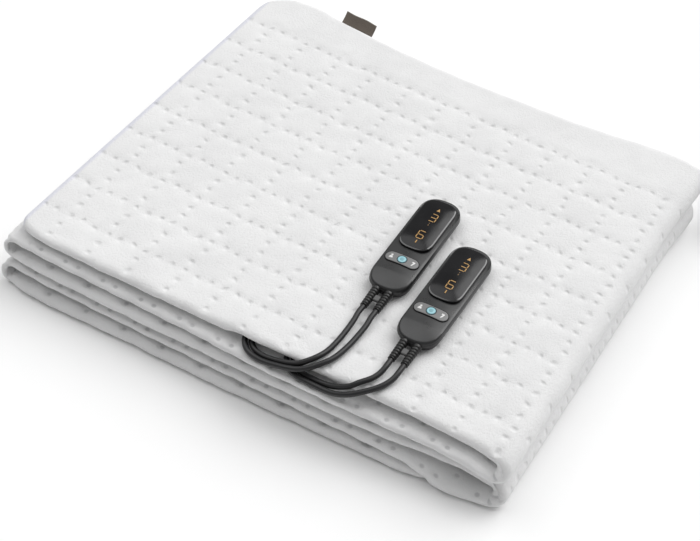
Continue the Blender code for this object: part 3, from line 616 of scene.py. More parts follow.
def unevenness(x, y):
    """Rise and fall of soft cloth: a sum of sine waves in many directions, the long ones highest."""
    waves = ((0.031, 0.011, 0.4, 0.30), (-0.013, 0.034, 1.9, 0.28), (0.052, -0.027, 3.1, 0.20),
             (0.021, 0.061, 5.0, 0.16), (0.083, 0.047, 0.9, 0.13), (-0.064, 0.092, 2.2, 0.12),
             (0.151, 0.043, 1.1, 0.09), (-0.112, 0.137, 4.2, 0.09), (0.061, -0.203, 0.3, 0.08),
             (0.243, 0.118, 2.7, 0.06), (-0.207, 0.221, 5.5, 0.05), (0.302, -0.171, 3.9, 0.05))
    bend = 0.7 * np.sin(0.017 * x - 0.023 * y)
    return sum(size * np.sin(kx * x + ky * y + phase + bend) for kx, ky, phase, size in waves)


def chance(i, j):
    """A number from 0 to 1 that depends on two whole numbers alone."""
    return np.modf(np.abs(np.sin(i * 12.9898 + j * 78.233)) * 4375.5453)[0]


def bump_at(distance, wide):
    """A bell curve: 1 at no distance, which is in squares, and less with it. The width is in millimetres."""
    return np.exp(-((distance * PITCH / wide) ** 2))


def quilted(u, v, bare):
    """How far the cloth is drawn in, as a share.

    It is most at the dots, each its own amount, a little along the rows of them, and some by short
    creases from one dot to the next.
    """
    across, along = u - np.round(u), v - np.round(v)
    third_u, third_v = (3 * u - np.round(3 * u)) / 3, (3 * v - np.round(3 * v)) / 3
    line_wide, dot_wide, crossing_wide, crease_wide = 8.0, 4.2, 6.0, 2.6
    least, spread, creased = 0.35, 1.0, 0.72
    lines = bump_at(across, line_wide) + bump_at(along, line_wide)
    row_amount = least + spread * chance(np.round(3 * u), np.round(v))
    column_amount = least + spread * chance(np.round(3 * v) + 40, np.round(u) + 7)
    in_row = row_amount * np.exp(-(third_u**2 + along**2) * (PITCH / dot_wide) ** 2)
    in_column = column_amount * np.exp(-(across**2 + third_v**2) * (PITCH / dot_wide) ** 2)
    dots = np.maximum(in_row, in_column)
    at_crossing = np.exp(-(across**2 + along**2) * (PITCH / crossing_wide) ** 2)
    row_crease = bump_at(along, crease_wide) * (chance(np.floor(3 * u) + 11, np.round(v)) > creased)
    column_crease = bump_at(across, crease_wide) * (chance(np.floor(3 * v) + 23, np.round(u)) > creased)
    row_ends = np.sin(math.pi * (3 * u - np.floor(3 * u))) ** 2
    column_ends = np.sin(math.pi * (3 * v - np.floor(3 * v))) ** 2
    creases = np.maximum(row_crease * row_ends, column_crease * column_ends)
    return 0.42 * np.minimum(lines, 1.0) + 0.95 * dots * (1 - bare * at_crossing) + 0.22 * creases


def cloth_columns():
    """The section's columns with what their points need: place, normal, edges, and column of the quilting."""
    x, z, front, back, layer, block = section().T
    path = np.concatenate([[0.0], np.cumsum(np.hypot(np.diff(x), np.diff(z)))])
    normal_x, normal_z = -np.gradient(z, path), np.gradient(x, path)
    size = np.hypot(normal_x, normal_z)

    # Columns are even on the first layer and carry on by the distance along the cloth from its right bend
    lattice = np.interp(x, COLUMNS_X, np.arange(len(COLUMNS_X)) - 1.0)
    turn = np.argmax(x > COUNTED_FROM)
    lattice = np.where(path > path[turn], lattice[turn] + (path - path[turn]) / PITCH, lattice)

    # The edges are drawn in at each column's dots, and waver a little at the front
    odd = np.isin(block, (0, 1, 4, 5, 8))
    scallop = np.abs(np.sin(math.pi * lattice)) ** 0.8
    close_scallop = np.abs(np.cos(1.5 * math.pi * lattice))
    waver = 0.45 * np.sin(0.11 * path + 0.6) + 0.35 * np.sin(0.23 * path + 2.0) + 0.2 * np.sin(0.52 * path)
    return SimpleNamespace(
        x=x, z=z, layer=layer, block=block, path=path, lattice=lattice, odd=odd,
        normal_x=normal_x / size, normal_z=normal_z / size,
        front=front + 0.2 + 0.5 * waver - 0.4 * np.where(odd, scallop, close_scallop),
        back=back - 0.6 + 0.6 * scallop,
        from_end=np.minimum(path, path[-1] - path),
    )


def loop_fill(number, x):
    """Extra thickness under a layer where the right-hand loop below it closes."""
    return np.interp(x, *np.array(LOOP_FILL[number]).T)


def half_thickness(c, number, sign, edge):
    """Half the cloth's thickness: rounded off at its edges and thinner inside the left bends.

    It is thicker where a right-hand loop closes from inside, and where the cloth's last end is tucked
    under the lower loop.
    """
    half = CLOTH_HALF * rounding(c.from_end) * rounding(edge)
    if number in LEFT_BENDS and sign > 0:
        half = half - PINCH * np.sin(math.pi * c.along) * rounding(edge)
    if number in LOOP_FILL and sign < 0:
        half = half + loop_fill(number, c.x) * rounding(edge)
    if number == 6 and sign > 0:
        tucked = smooth_step((c.x - 182.0) / 6.0)
        half = half + np.clip(c.z - CLOTH_HALF, 0.0, 9.0) * tucked * rounding(edge)
    return half


def on_quilting(c, number, sign, y, edge):
    """A point's place on the quilting, which dots show, and how far the cloth is drawn in there.

    The place is in squares: u along the section, v from the back row forward. Over the top and round
    the bends v comes from y, and between LEFT_X and RIGHT_X on the noses from the distance to the edge.
    """
    shift = np.clip(c.x, -230.0, 232.0) + 50.0
    back_row = 154.5 - 0.048 * shift
    pitch = np.clip(41.4 - 0.0048 * shift, 40.0, 42.5)
    by_front = (c.layer > 1) & (c.x < RIGHT_X) & (c.x > LEFT_X)
    by_front = by_front | ((c.layer == 1) & (c.x < RIGHT_X) & (sign < 0))
    tip = DOT_ROWS.get(number // 2, OTHER_DOT_ROW)
    upper = -sign if number in (2, 6) else sign
    v = np.where(by_front, tip - upper * (y - c.front) / PITCH * 1.25, (back_row - y) / pitch)
    u = c.lattice + np.where(by_front, DOT_SHIFT.get(number, 0.0), 0.0) + 0 * y

    margin = ~by_front & (v < -0.17)
    beside = np.minimum(abs(c.x - RIGHT_X), abs(c.x - LEFT_X)) + 0 * y
    switches = number in (2, 4, 6, 8) or number == 0 and sign < 0
    bare = np.where(c.odd | (edge > 14.0), 0.0, 1.0) + 0 * y
    if not switches:  # rows and columns wander a little, as sewn
        wide = 0.024 * np.sin(5.3 * v + 2.1 * np.sin(3.7 * u)) + 0.018 * np.sin(10.7 * v + 6.9 * u)
        deep = 0.024 * np.sin(4.9 * u + 1.7 * np.sin(4.3 * v)) + 0.018 * np.sin(9.7 * u - 7.3 * v)
        u, v = u + wide, v + deep
    drawn = quilted(u, v, bare) * np.where(by_front, 1.0, smooth_step((v + 0.3) / 0.13))
    if switches:
        drawn = drawn * smooth_step((beside - 1.0) / 8.0)
    return u, v, np.where(margin | (switches & (beside < 6.0)), 2.0, bare), drawn


def under_handsets(x, y):
    """How much the handsets press the cloth flat: fully under them, and fading over 10 mm round them."""
    pressed = np.zeros_like(y)
    for tag in "ab":
        low, high = (np.array(c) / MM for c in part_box(f"handset_{tag}_base"))
        near_x = smooth_step((abs(x - (low[0] + high[0]) / 2) - (high[0] - low[0]) / 2) / 10.0 + 0.2)
        near_y = smooth_step((abs(y - (low[1] + high[1]) / 2) - (high[1] - low[1]) / 2) / 10.0 + 0.2)
        pressed = np.maximum(pressed, 1.0 - np.maximum(near_x, near_y))
    return pressed


def droop(c, number, sign, y):
    """How far the front of layers 1 and 3 sinks as it comes to its right bend, fading back from the edge."""
    if number in LOOP_FILL:
        fall = np.interp(c.x, (165.0, 200.0, 220.0, 235.3), (0.0, 0.35, 0.6, 1.0))
    else:
        fall = (1.0 - smooth_step(c.along)) * (number in RIGHT_BENDS)
    fall = DROOP * fall * np.exp(-((y - c.front) / DROOP_REACH))
    if number in LOOP_FILL and sign < 0:
        fall = fall * (1.0 - loop_fill(number, c.x) / LOOP_FILL[0][-1][1])
    return fall


def press_bend(points, c, number, edge):
    """Presses the inside of a right-hand bend flat, from the filled layer above it to the layer below."""
    above, below = np.array(LAYERS[number // 2][-1]), np.array(LAYERS[number // 2 + 1][0])
    upper = above[1] - CLOTH_HALF - LOOP_FILL[number - 1][-1][1]
    level = upper + (below[1] + CLOTH_HALF - upper) * c.along
    points[..., 0] = c.x + (above[0] + 0.1 - c.x) * rounding(edge)
    points[..., 2] = c.z + (level - c.z) * rounding(edge)


def cloth_side(cloth, pick, kind, sign):
    """One side of a block's columns, sign +1 along the section's normal: eight numbers for each point.

    They are x, y and z, the three of the quilting, the distance along the cloth, and 1 on a nose.
    """
    c = SimpleNamespace(**{name: values[pick, None] for name, values in vars(cloth).items()})
    c.along = (np.arange(len(pick))[:, None] + 1.0) / (len(pick) + 1.0)
    number = int(c.block[0, 0])
    share, offset = row_rule(kind)
    y = c.front + share * (c.back - c.front) + offset
    edge = np.minimum(y - c.front, c.back - y)
    half = half_thickness(c, number, sign, edge)
    u, v, bare, drawn = on_quilting(c, number, sign, y, edge)

    top = (c.layer == 1) & (sign > 0)
    outer = number in RIGHT_BENDS and sign > 0 or number in LEFT_BENDS and sign < 0
    shown = np.where(top | outer, 1.0, smooth_step((26.0 - edge) / 12.0)) * (0.6 if outer else 1.0)
    inside = DRAWN_IN * drawn * shown * smooth_step(edge / 4.0) * smooth_step(c.from_end / 8.0)
    wave = unevenness(c.x + 0 * y, y) * smooth_step(edge / 14.0)
    wave = wave * np.where(top, smooth_step((234.0 - c.x) / 24.0), 0.0) * smooth_step(c.from_end / 20.0)
    keep = np.where(top, 1.0 - under_handsets(c.x, y), 1.0)
    inside, wave = inside * keep, np.minimum(wave * keep, HIGHEST_WAVE)

    # Diagonal wrinkles where the cloth turns back at the left
    left = smooth_step((-214.0 - c.x) / 16.0) * smooth_step((34.0 - (y - c.front)) / 20.0)
    left = left * (number in (2, 3, 4, 6, 7, 8))
    inside = inside + WRINKLE * left * (1 + np.sin(1.15 * c.x + 0.8 * (y - c.front))) * rounding(edge)

    # The hollow that the leads run in, under the top layer
    hollow = np.interp(c.x, CHANNEL, (0.0, 1.0, 1.0, 0.0)) * (c.layer == 1)
    lift = MOUTH_LIFT * np.exp(-(((y - c.front) / 34.0) ** 2)) * hollow
    if sign < 0:
        half = half * (1.0 - hollow * CHANNEL_RISE / CLOTH_HALF)
        inside = inside * (1.0 - hollow)

    reach = sign * (half - np.minimum(inside, 0.9 * half))
    z = c.z + lift + wave - droop(c, number, sign, y) + c.normal_z * reach
    points = np.dstack([c.x + c.normal_x * reach, y, z])
    if number in RIGHT_BENDS and sign < 0:
        press_bend(points, c, number, edge)

    # The stack spreads a little at the back right and, below its top layer, at the front left. It lies flat
    points[..., 0] += 4.0 * smooth_step((y - 110.0) / 85.0) * smooth_step((c.x - 205.0) / 30.0)
    front_left = smooth_step((-60.0 - y) / 120.0) * smooth_step((-222.0 - c.x) / 20.0)
    points[..., 0] -= 3.0 * front_left * (number > 1)
    points[..., 2] = np.where(points[..., 2] < 0.3, FLOOR_GAP, points[..., 2])
    nose = np.where(top | outer, 0.0, 1.0)
    return np.dstack([points, u, v, bare, c.path + 0 * y, nose + 0 * y])


def joined(a, b):
    """Faces between two columns whose rows may be of different kinds, the finer a whole multiple."""
    if len(a) < len(b):
        a, b = b, a
    rim = len(EDGE_STEPS) - 1
    few = len(b) - 1 - 2 * rim
    ratio = (len(a) - 1 - 2 * rim) // few
    faces = []
    for c, d in ((a[:rim + 1], b[:rim + 1]), (a[-rim - 1:], b[-rim - 1:])):
        faces += np.stack([c[:-1], c[1:], d[1:], d[:-1]], 1).tolist()
    first = rim + ratio * np.arange(few)
    ring = [a[first + j] for j in range(ratio + 1)] + [b[rim + 1 + np.arange(few)], b[rim + np.arange(few)]]
    return faces + np.stack(ring, 1).tolist()


def cloth_skin(cloth):
    """The cloth's closed skin: its points, each with the numbers of cloth_side, and its faces.

    The two sides of a block share their front and back rows, and meet at the cloth's two ends.
    """
    parts, faces, total = [], [], 0
    last_up = last_low = None
    numbers = np.unique(cloth.block).astype(int)
    for number in numbers:
        pick = np.flatnonzero(cloth.block == number)
        kinds = ROW_KINDS.get(number, ("coarse", "coarse"))
        up, low = (cloth_side(cloth, pick, kind, sign) for kind, sign in zip(kinds, (1, -1)))
        index_up = total + numbered(up)
        total += index_up.size
        index_low = np.empty(low.shape[:2], int)
        index_low[:, 1:-1] = total + numbered(low[:, 1:-1])
        total += index_low[:, 1:-1].size
        index_low[:, 0], index_low[:, -1] = index_up[:, 0], index_up[:, -1]
        parts += [up.reshape(-1, up.shape[2]), low[:, 1:-1].reshape(-1, low.shape[2])]
        first_low = index_low[1:] if number == numbers[0] else index_low
        if number == numbers[-1]:
            first_low = first_low[:-1]
        faces += quads(index_up) + quads(first_low)
        if last_up is None:
            faces += joined(index_up[0], first_low[0])
        else:
            faces += joined(last_up, index_up[0]) + joined(last_low, first_low[0])
        last_up, last_low = index_up[-1], first_low[-1]
    return np.vstack(parts), faces + joined(last_up, last_low)


def blanket():
    """The folded cloth as one closed skin.

    A mid-surface runs along the section (first parameter) and from front to back (second). The skin is
    that surface moved along the section's normal by plus and minus half the cloth's thickness, which
    falls off as a quarter ellipse at every edge, less what the quilting draws in.
    """
    cloth = cloth_columns()
    table, faces = cloth_skin(cloth)
    item = add("quilted_underblanket", table[:, :3], faces, fleece_material())
    holder = item.data.attributes.new("quilt", "FLOAT_VECTOR", "POINT")
    holder.data.foreach_set("vector", table[:, 3:6].astype(np.float32).ravel())
    for name, values in (("hem", smooth_step((HEM_WIDE - table[:, 6]) / 1.5)), ("nose", table[:, 7])):
        holder = item.data.attributes.new(name, "FLOAT", "POINT")
        holder.data.foreach_set("value", values.astype(np.float32))
    finish_piece(item, "quilted cloth", "blanket")


def label_tab():
    """Woven tab: a strip that leans up and back out of the seam, turned a little from the stack's edge."""
    seam_x, seam_y, seam_z = -146.0, 215.9, 55.6
    long, width, thick = 13.0, 39.5, 1.0
    turn, tilt = math.radians(-8.0), math.radians(48.0)
    t = np.linspace(0.0, 1.0, 12)
    w = np.linspace(-0.5, 0.5, 40)
    lean = tilt + 0.3 * (t - 0.5)
    reach = np.concatenate([[0.0], np.cumsum(np.cos(lean[1:]) * np.diff(t))]) * long
    rise = np.concatenate([[0.0], np.cumsum(np.sin(lean[1:]) * np.diff(t))]) * long
    across = np.broadcast_to(w * width, (len(t), len(w)))
    back = reach[:, None] + 0.35 * np.sin(w * 9.0) * t[:, None]
    up = rise[:, None] + 0.25 * np.sin(w * 7.0 + 1.0) * t[:, None]
    x = seam_x + across * math.cos(turn) - back * math.sin(turn)
    y = seam_y + across * math.sin(turn) + back * math.cos(turn)
    points = np.dstack([x, y, seam_z + up])
    item = add("label_tape", points, quads(numbered(points)), tape_material())
    solid = item.modifiers.new("thickness", "SOLIDIFY")
    solid.thickness, solid.offset = thick * MM, 0.0
    finish_piece(item, "taupe tape", "label_tab")


# ---------------------------------------------------------------- the handsets
def set_on(tag, points):
    """Moves points from a handset's own frame into the part's: turned, and put on the CAD base's middle."""
    low, high = (np.array(c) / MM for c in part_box(f"handset_{tag}_base"))
    turn = math.radians(HANDSET_TURN[tag])
    points = np.asarray(points, float)
    x = points[..., 0] * math.cos(turn) - points[..., 1] * math.sin(turn) + (low[0] + high[0]) / 2
    y = points[..., 0] * math.sin(turn) + points[..., 1] * math.cos(turn) + (low[1] + high[1]) / 2
    return np.stack([x, y, points[..., 2] + low[2]], -1)


def finish_piece(item, slot, *nodes, body="body"):
    """Says which body a piece rides on and which CAD nodes it replaces; the slot is not used."""
    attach(item, body)
    if nodes:
        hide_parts(*nodes)
    return item


def top_height(x, y):
    """Height of the cover's top: crowned across, and falling away over its near end."""
    return SHOULDER + 0.2 - 1.5 * (x / 18.0) ** 2 - 4.0 * np.clip((-36.0 - y) / 27.0, 0.0, 1.0) ** 2


def handset_base(tag, finish):
    """Lower shell: a rounded pan, a little smaller than the cover, so that a shadow line shows."""
    sizes = ((-4.8, 0.0), (-3.6, 0.25), (-2.7, 0.9), (-2.2, 1.8), (-1.8, 3.0), (-1.5, 4.5), (-1.4, 5.9),
             (-1.7, 6.4), (-2.6, 6.7))
    rings = [at_height(outline(*BODY, grow=g), z) for g, z in sizes]
    item = loft(f"handset_{tag}_pan", set_on(tag, rings), finish)
    finish_piece(item, "dark shell", f"handset_{tag}_base")


def step_line(x):
    """Front edge of the low rim round the lens, as y for each x: an arc of a flattened ellipse."""
    return LENS_Y - LENS[1] / 2 + 19.4 - 21.0 * np.sqrt(np.clip(1.0 - (x / 23.5) ** 2, 0.0, 1.0))


def handset_cover(tag, finish):
    """Upper shell: rings of the outline shrunk by e.

    They make a straight wall, a tight quarter-round shoulder and a crowned top, and behind the lens's
    front edge a step down to a low rim.
    """
    round_off = 2.2
    turn = np.linspace(0.0, math.pi / 2, 9)
    over_top = np.linspace(0.5 + round_off, 19.6, 44)[1:]
    inset = np.concatenate([[0.4, 0.0, 0.1, 0.35], 0.5 + round_off * (1 - np.cos(turn)), over_top])
    drop = np.concatenate([[0, 0, 0, 0], round_off * (1 - np.sin(turn)), np.zeros(len(over_top))])
    low = np.concatenate([[SPLIT, SPLIT + 0.35, 9.0, 11.0], np.full(len(turn) + len(over_top), np.nan)])
    rings = []
    for e, fall, fixed in zip(inset, drop, low):
        plan = outline(*BODY, steps=260, grow=-e)
        z = top_height(plan[:, 0], plan[:, 1]) - fall
        behind = smooth_step((plan[:, 1] - step_line(plan[:, 0])) / 1.2)
        rim = np.minimum(z, RIM + 0.9 - 0.5 * smooth_step((e - 0.6) / 1.6))
        z = z + (rim - z) * behind
        z = z if np.isnan(fixed) else np.minimum(z, min(fixed, 11.0))
        if fixed > 8.0:
            z = np.minimum(z, top_height(plan[:, 0], plan[:, 1]) - 2.35 - 0.1 * (11.0 - fixed))
        rings.append(np.column_stack([plan, z]))
    item = loft(f"handset_{tag}_top", set_on(tag, rings), finish)
    finish_piece(item, "graphite cover", f"handset_{tag}_cover")


def lens_fall(y):
    """How much the lens drops over its near end."""
    return 1.1 * np.clip((LENS_Y - LENS[1] / 2 + 20.0 - y) / 20.0, 0.0, 1.0) ** 2


def lens_dome(e):
    """Height of the lens at e in from its wall: a slow dome, level with its brim at 1.3."""
    return LENS_TOP - LENS_CROWN * (1 - (e - 1.3) / 14.3) ** 2


def lens_height(x, y):
    """Height of the lens at a place on it, as its marks need it."""
    return lens_dome(np.clip(LENS[0] / 2 + 0.4 - np.abs(x), 1.3, 15.6)) - lens_fall(y)


def handset_lens(tag, finish, gloss):
    """Display block: an upright wall, a bright-edged chamfer as a strip of its own, and a slow dome."""

    def ring(e, z):
        """The block's outline, e in from its wall, at height z and lower at the near end."""
        plan = outline(*LENS, 2.9, 200, 0.4 - e) + (0.0, LENS_Y)
        return at_height(plan, z) - np.outer(lens_fall(plan[:, 1]), (0.0, 0.0, 1.0)) * (z > 13.0)

    brim = LENS_TOP - LENS_CROWN
    rings = [ring(0.35, RIM - 0.4), ring(0.2, 13.2), ring(0.0, brim - 2.0), ring(0.25, brim - 0.8)]
    rings += [ring(1.2, brim - 0.3)] + [ring(e, lens_dome(e)) for e in np.linspace(1.35, 15.6, 24)]
    item = loft(f"handset_{tag}_screen", set_on(tag, rings), finish)
    strip = [ring(0.3, brim - 0.85), ring(0.36, brim - 0.5), ring(1.3, brim - 0.04), ring(1.45, brim - 0.02),
             ring(1.45, brim - 0.4), ring(0.9, brim - 0.8)]
    finish_piece(band(f"handset_{tag}_screen_edge", set_on(tag, strip), gloss), "black lens")
    finish_piece(item, "black lens", f"handset_{tag}_lens")


def pill(grow, rise, hole=None, share=0.0):
    """Outline of the key plate at a height over the crowned cover, or its share of the way to a round hole.

    Its points are spaced evenly round it.
    """
    plan = outline(PLATE[1], PLATE[0], 2.0, 720, grow)[:, ::-1]
    closed = np.vstack([plan, plan[:1]])
    far = np.concatenate([[0.0], np.cumsum(np.hypot(*np.diff(closed, axis=0).T))])
    even = np.linspace(0.0, far[-1], 144, endpoint=False)
    plan = np.column_stack([np.interp(even, far, closed[:, k]) for k in (0, 1)])
    if hole:
        plan = plan + share * (plan / np.hypot(*plan.T)[:, None] * hole - plan)
    plan = plan + (0.0, KEY_Y)
    return np.column_stack([plan, top_height(plan[:, 0], plan[:, 1]) + rise])


def handset_plate(tag, finish, dark):
    """Pill-shaped plate with a softened edge and a round hole for the key, ringed by a thin near-black band
    that is painted shade for the groove round it.
    """
    # Painted shade: a flat dark ring just over the cover round the plate stands for the shade in the groove
    painted_gap_shade = [pill(0.8, -0.4), pill(0.8, 0.05), pill(-0.4, 0.05), pill(-0.8, -0.3)]
    seam = loft(f"handset_{tag}_gap", set_on(tag, painted_gap_shade), dark)
    finish_piece(seam, "dark shell")
    wide = KEY_RADIUS + 0.15
    rings = [pill(0.05, -0.3), pill(0.05, 0.3), pill(-0.12, 0.42), pill(-0.4, 0.5)]
    rings += [pill(-0.4, 0.5, wide + 0.12, share) for share in (0.25, 0.5, 0.75, 1.0)]
    rings += [pill(-0.4, 0.4, wide, 1.0), pill(-0.4, -0.3, wide, 1.0)]
    item = band(f"handset_{tag}_keys", set_on(tag, rings), finish)
    finish_piece(item, "key grey", f"handset_{tag}_plate")


def handset_key(tag, finish, dark):
    """Round key: a disc with a shallow ring pressed in it, in a dark collar that it slides through; the
    collar's dark finish is painted shade for the hole round the key.

    The disc's profile runs from its hidden foot up and in to its middle, as radius, height and tint.
    """
    # Painted shade: the collar shows dark down in the hole between the key and the plate
    wide, narrow, brim = KEY_RADIUS + 0.25, KEY_RADIUS - 0.2, SHOULDER + 0.32
    collar = [(wide, SHOULDER), (wide, brim), (narrow, brim), (narrow, SHOULDER)]
    collar = turned(collar, KEY_STEPS, (0.0, KEY_Y, 0.0), "Z")
    finish_piece(band(f"handset_{tag}_collar", set_on(tag, collar), dark), "dark shell")
    top = SHOULDER + KEY_PROUD + 0.25
    profile = np.array((
        (KEY_RADIUS - 0.3, top - 2.6, 1.0), (KEY_RADIUS - 0.3, top - 0.6, 1.0),
        (KEY_RADIUS - 0.4, top - 0.25, 1.0), (KEY_RADIUS - 0.75, top, 0.55),
        (3.2, top + 0.05, 0.1), (2.5, top + 0.05, 0.0), (2.4, top - 0.06, 0.1), (1.7, top - 0.06, 0.4),
        (1.55, top + 0.05, 0.45), (0.8, top + 0.06, 0.45), (0.2, top + 0.06, 0.45),
    ))
    rings = turned(profile[:, :2], KEY_STEPS, (0.0, KEY_Y, 0.0), "Z")
    item = loft(f"handset_{tag}_power_key", set_on(tag, rings), finish)
    holder = item.data.attributes.new("rim", "FLOAT", "POINT")
    holder.data.foreach_set("value", np.repeat(profile[:, 2], KEY_STEPS).astype(np.float32))
    finish_piece(item, "lit key", f"handset_{tag}_key", body=f"key_{tag}")


def bar(x, y, wide, long):
    """Corners of one bar of a digit, by its middle."""
    return [(x - wide / 2, y - long / 2), (x + wide / 2, y - long / 2),
            (x + wide / 2, y + long / 2), (x - wide / 2, y + long / 2)]


def digit(number, y):
    """Seven-bar digit, 7 wide and 11 tall, as the bars that are lit."""
    wide, tall, thick = 3.0, 4.9, 0.8
    spots = {
        "top": bar(0, y + tall, 2 * wide - 1.2, thick), "middle": bar(0, y, 2 * wide - 1.2, thick),
        "bottom": bar(0, y - tall, 2 * wide - 1.2, thick),
        "upper_left": bar(-wide, y + tall / 2, thick, tall - 1.0),
        "upper_right": bar(wide, y + tall / 2, thick, tall - 1.0),
        "lower_left": bar(-wide, y - tall / 2, thick, tall - 1.0),
        "lower_right": bar(wide, y - tall / 2, thick, tall - 1.0),
    }
    lit = {3: ("top", "middle", "bottom", "upper_right", "lower_right"),
           6: ("top", "middle", "bottom", "upper_left", "lower_left", "lower_right")}[number]
    return [spots[name] for name in lit]


def prints(tag, name, shapes, finish, slot, height):
    """Flat printed shapes, each a closed corner list, as thin raised plates on a surface height(x, y)."""
    under, over = 0.12, 0.05
    vertices, faces, start = [], [], 0
    for shape in shapes:
        plan = np.array(shape, float)
        z = height(plan[:, 0], plan[:, 1])
        vertices += [np.column_stack([plan, z - under]), np.column_stack([plan, z + over])]
        count = len(plan)
        index = np.arange(start, start + 2 * count).reshape(2, count)
        faces += quads(index, wrap=True) + [index[0, ::-1].tolist(), index[1].tolist()]
        start += 2 * count
    finish_piece(add(name, set_on(tag, np.vstack(vertices)), faces, finish, smooth=False), slot)


def disc(x, y, radius):
    """Corners of a round dot, by its middle."""
    turn = np.linspace(0.0, 2 * math.pi, 20, endpoint=False)
    return np.column_stack([x + radius * np.cos(turn), y + radius * np.sin(turn)])


def handset_prints(tag, amber, white, faint):
    """Lit digits along the display and two pale signs on the key plate: plain generic marks."""
    middle = 1.1
    arrow, dash = [(-1.7, 40.8), (1.7, 40.8), (0.0, 44.6)], bar(0.0, -2.9, 0.9, 3.4)
    lit = [np.array(shape) + (middle, 0.0) for shape in (*digit(6, 6.3), *digit(3, 31.3), arrow, dash)]
    prints(tag, f"handset_{tag}_digits", lit, amber, "black lens", lens_height)
    small = [bar(middle, 20.7, 0.8, 1.6), bar(middle, 23.3, 0.8, 1.0)]
    prints(tag, f"handset_{tag}_mark", small, faint, "black lens", lens_height)

    def on_plate(x, y):
        """Height of the key plate's face."""
        return top_height(x, y) + 0.52

    block = [(-12.2, -2.3), (-8.4, -2.3), (-9.1, 0.3), (-11.5, 0.3)]
    hook = [(9.4, 2.4), (12.2, 2.4), (12.0, 0.8), (10.6, -2.6), (9.5, -2.6), (10.6, 1.0), (9.5, 1.0)]
    signs = [np.array(shape) + (0.0, KEY_Y) for shape in (disc(-10.3, 1.6, 1.0), block, hook)]
    prints(tag, f"handset_{tag}_signs", signs, white, "key grey", on_plate)


def handset_reliefs(tag, finish, pale):
    """Two ribbed sleeves: rounded ribs that get smaller away from the handset, and a web between them."""
    start = -BODY[1] / 2 + 0.8
    end = start - RELIEF_LONG - 1.4
    t = np.linspace(0.0, 1.0, 200)
    radius = 4.3 - 0.9 * t
    radius = radius - 0.95 * (1 - np.abs(np.sin(math.pi * 7.5 * t)) ** 0.45) * (t > 0.05)
    radius[-1] = 2.8
    for side in (-1, 1):
        profile = np.column_stack([radius, start + (end - start) * t])
        rings = turned(profile, 32, (side * RELIEF_X, 0.0, RELIEF_Z))
        name = f"handset_{tag}_sleeve_{'left' if side < 0 else 'right'}"
        item = loft(name, set_on(tag, rings), finish)
        finish_piece(item, "black rubber", *([f"handset_{tag}_relief"] if side < 0 else []))
    sizes = ((4.8, 5.2, -1.5), (5.6, 6.4, -1.0), (5.6, 6.4, 1.0), (4.8, 5.2, 1.5))
    rings = [at_height(np.array(bar(0.0, start - 10.5, wide, long)), RELIEF_Z + z) for wide, long, z in sizes]
    finish_piece(loft(f"handset_{tag}_bridge", set_on(tag, rings), pale), "black rubber")


# ---------------------------------------------------------------- leads, coils, plugs
def relief_end(tag, side):
    """Where a handset's lead leaves its ribbed sleeve: side -1 is the lead to the blanket, 1 to the mains."""
    return tuple(set_on(tag, (side * RELIEF_X, -BODY[1] / 2 - 0.35 - RELIEF_LONG - 0.8, RELIEF_Z)))


def coil_turns(tag):
    """The wound length: angle grows steadily, and the radius and the level change in part of a turn.

    A turn's place is (radius, height); the changes are staggered so that the strands pass beside each
    other, and the first two follow a quarter circle round each other.
    """
    x, y, _, tangent = COILS[tag]
    inner, outer, floor = COIL_MEAN - LEAD / 2, COIL_MEAN + LEAD / 2, LEAD / 2 + 0.3
    stages = ((outer, 0), (inner, 0), (inner, 1), (outer, 1), (outer, 2), (inner, 2), (inner, 3))
    starts = (0.75, 1.75, 2.5, 3.25, 4.0, 5.02)
    stops = (1.0, 2.0, 2.7, 3.45, 4.2, 5.22)
    turns = np.arange(0.06, TURNS[tag] - TAIL, 1 / COIL_STEPS)
    radius, level = np.full(len(turns), outer), np.zeros(len(turns))
    for k, (start, stop) in enumerate(zip(starts, stops)):
        share = np.clip((turns - start) / (stop - start), 0.0, 1.0)
        swing = share * math.pi / 2
        (r0, l0), (r1, l1) = stages[k], stages[k + 1]
        ease = 1 - np.cos(swing) if k == 0 else np.sin(swing) if k == 1 else smooth_step(share)
        radius = np.where(turns > start, r0 + (r1 - r0) * ease, radius)
        level = np.where(turns > start, l0 + (l1 - l0) * ease, level)
    angle = tangent * (math.pi / 2 - 2 * math.pi * turns)
    return np.column_stack([x + radius * np.cos(angle), y + radius * np.sin(angle), floor + LEVEL * level])


def plug_rear(tag):
    """Middle of the plug's rear face, where its lead goes in."""
    low, high = (np.array(c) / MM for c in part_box(f"plug_{tag}"))
    return (low[0] + high[0]) / 2, low[1], (low[2] + high[2]) / 2


def coil_tail(tag, low):
    """The last third of a turn: angle grows steadily while the height eases up to the plug's, from low."""
    x, y, side, tangent = COILS[tag]
    _, rear, high = plug_rear(tag)
    inner = COIL_MEAN - LEAD / 2
    share = np.linspace(0.12, 1.0, 12)
    angle = tangent * (math.pi / 2 - 2 * math.pi * (TURNS[tag] - TAIL * (1 - share)))
    z = low + (high - low) * smooth_step(share * 1.15)
    points = np.column_stack([x + inner * np.cos(angle), y + inner * np.sin(angle), z])
    return np.vstack([points, (x + side * inner, rear - 0.3, high)])


def add_lead(name, points, finish):
    """A round lead through points, as a curve with a round bevel and closed ends."""
    curve = bpy.data.curves.new(name, "CURVE")
    curve.dimensions = "3D"
    curve.bevel_depth = LEAD / 2 * MM
    curve.bevel_resolution = 5
    curve.use_fill_caps = True
    line = curve.splines.new("POLY")
    line.points.add(len(points) - 1)
    line.points.foreach_set("co", np.column_stack([points * MM, np.ones(len(points))]).ravel())
    item = bpy.data.objects.new(name, curve)
    bpy.context.scene.collection.objects.link(item)
    curve.materials.append(finish)
    return item


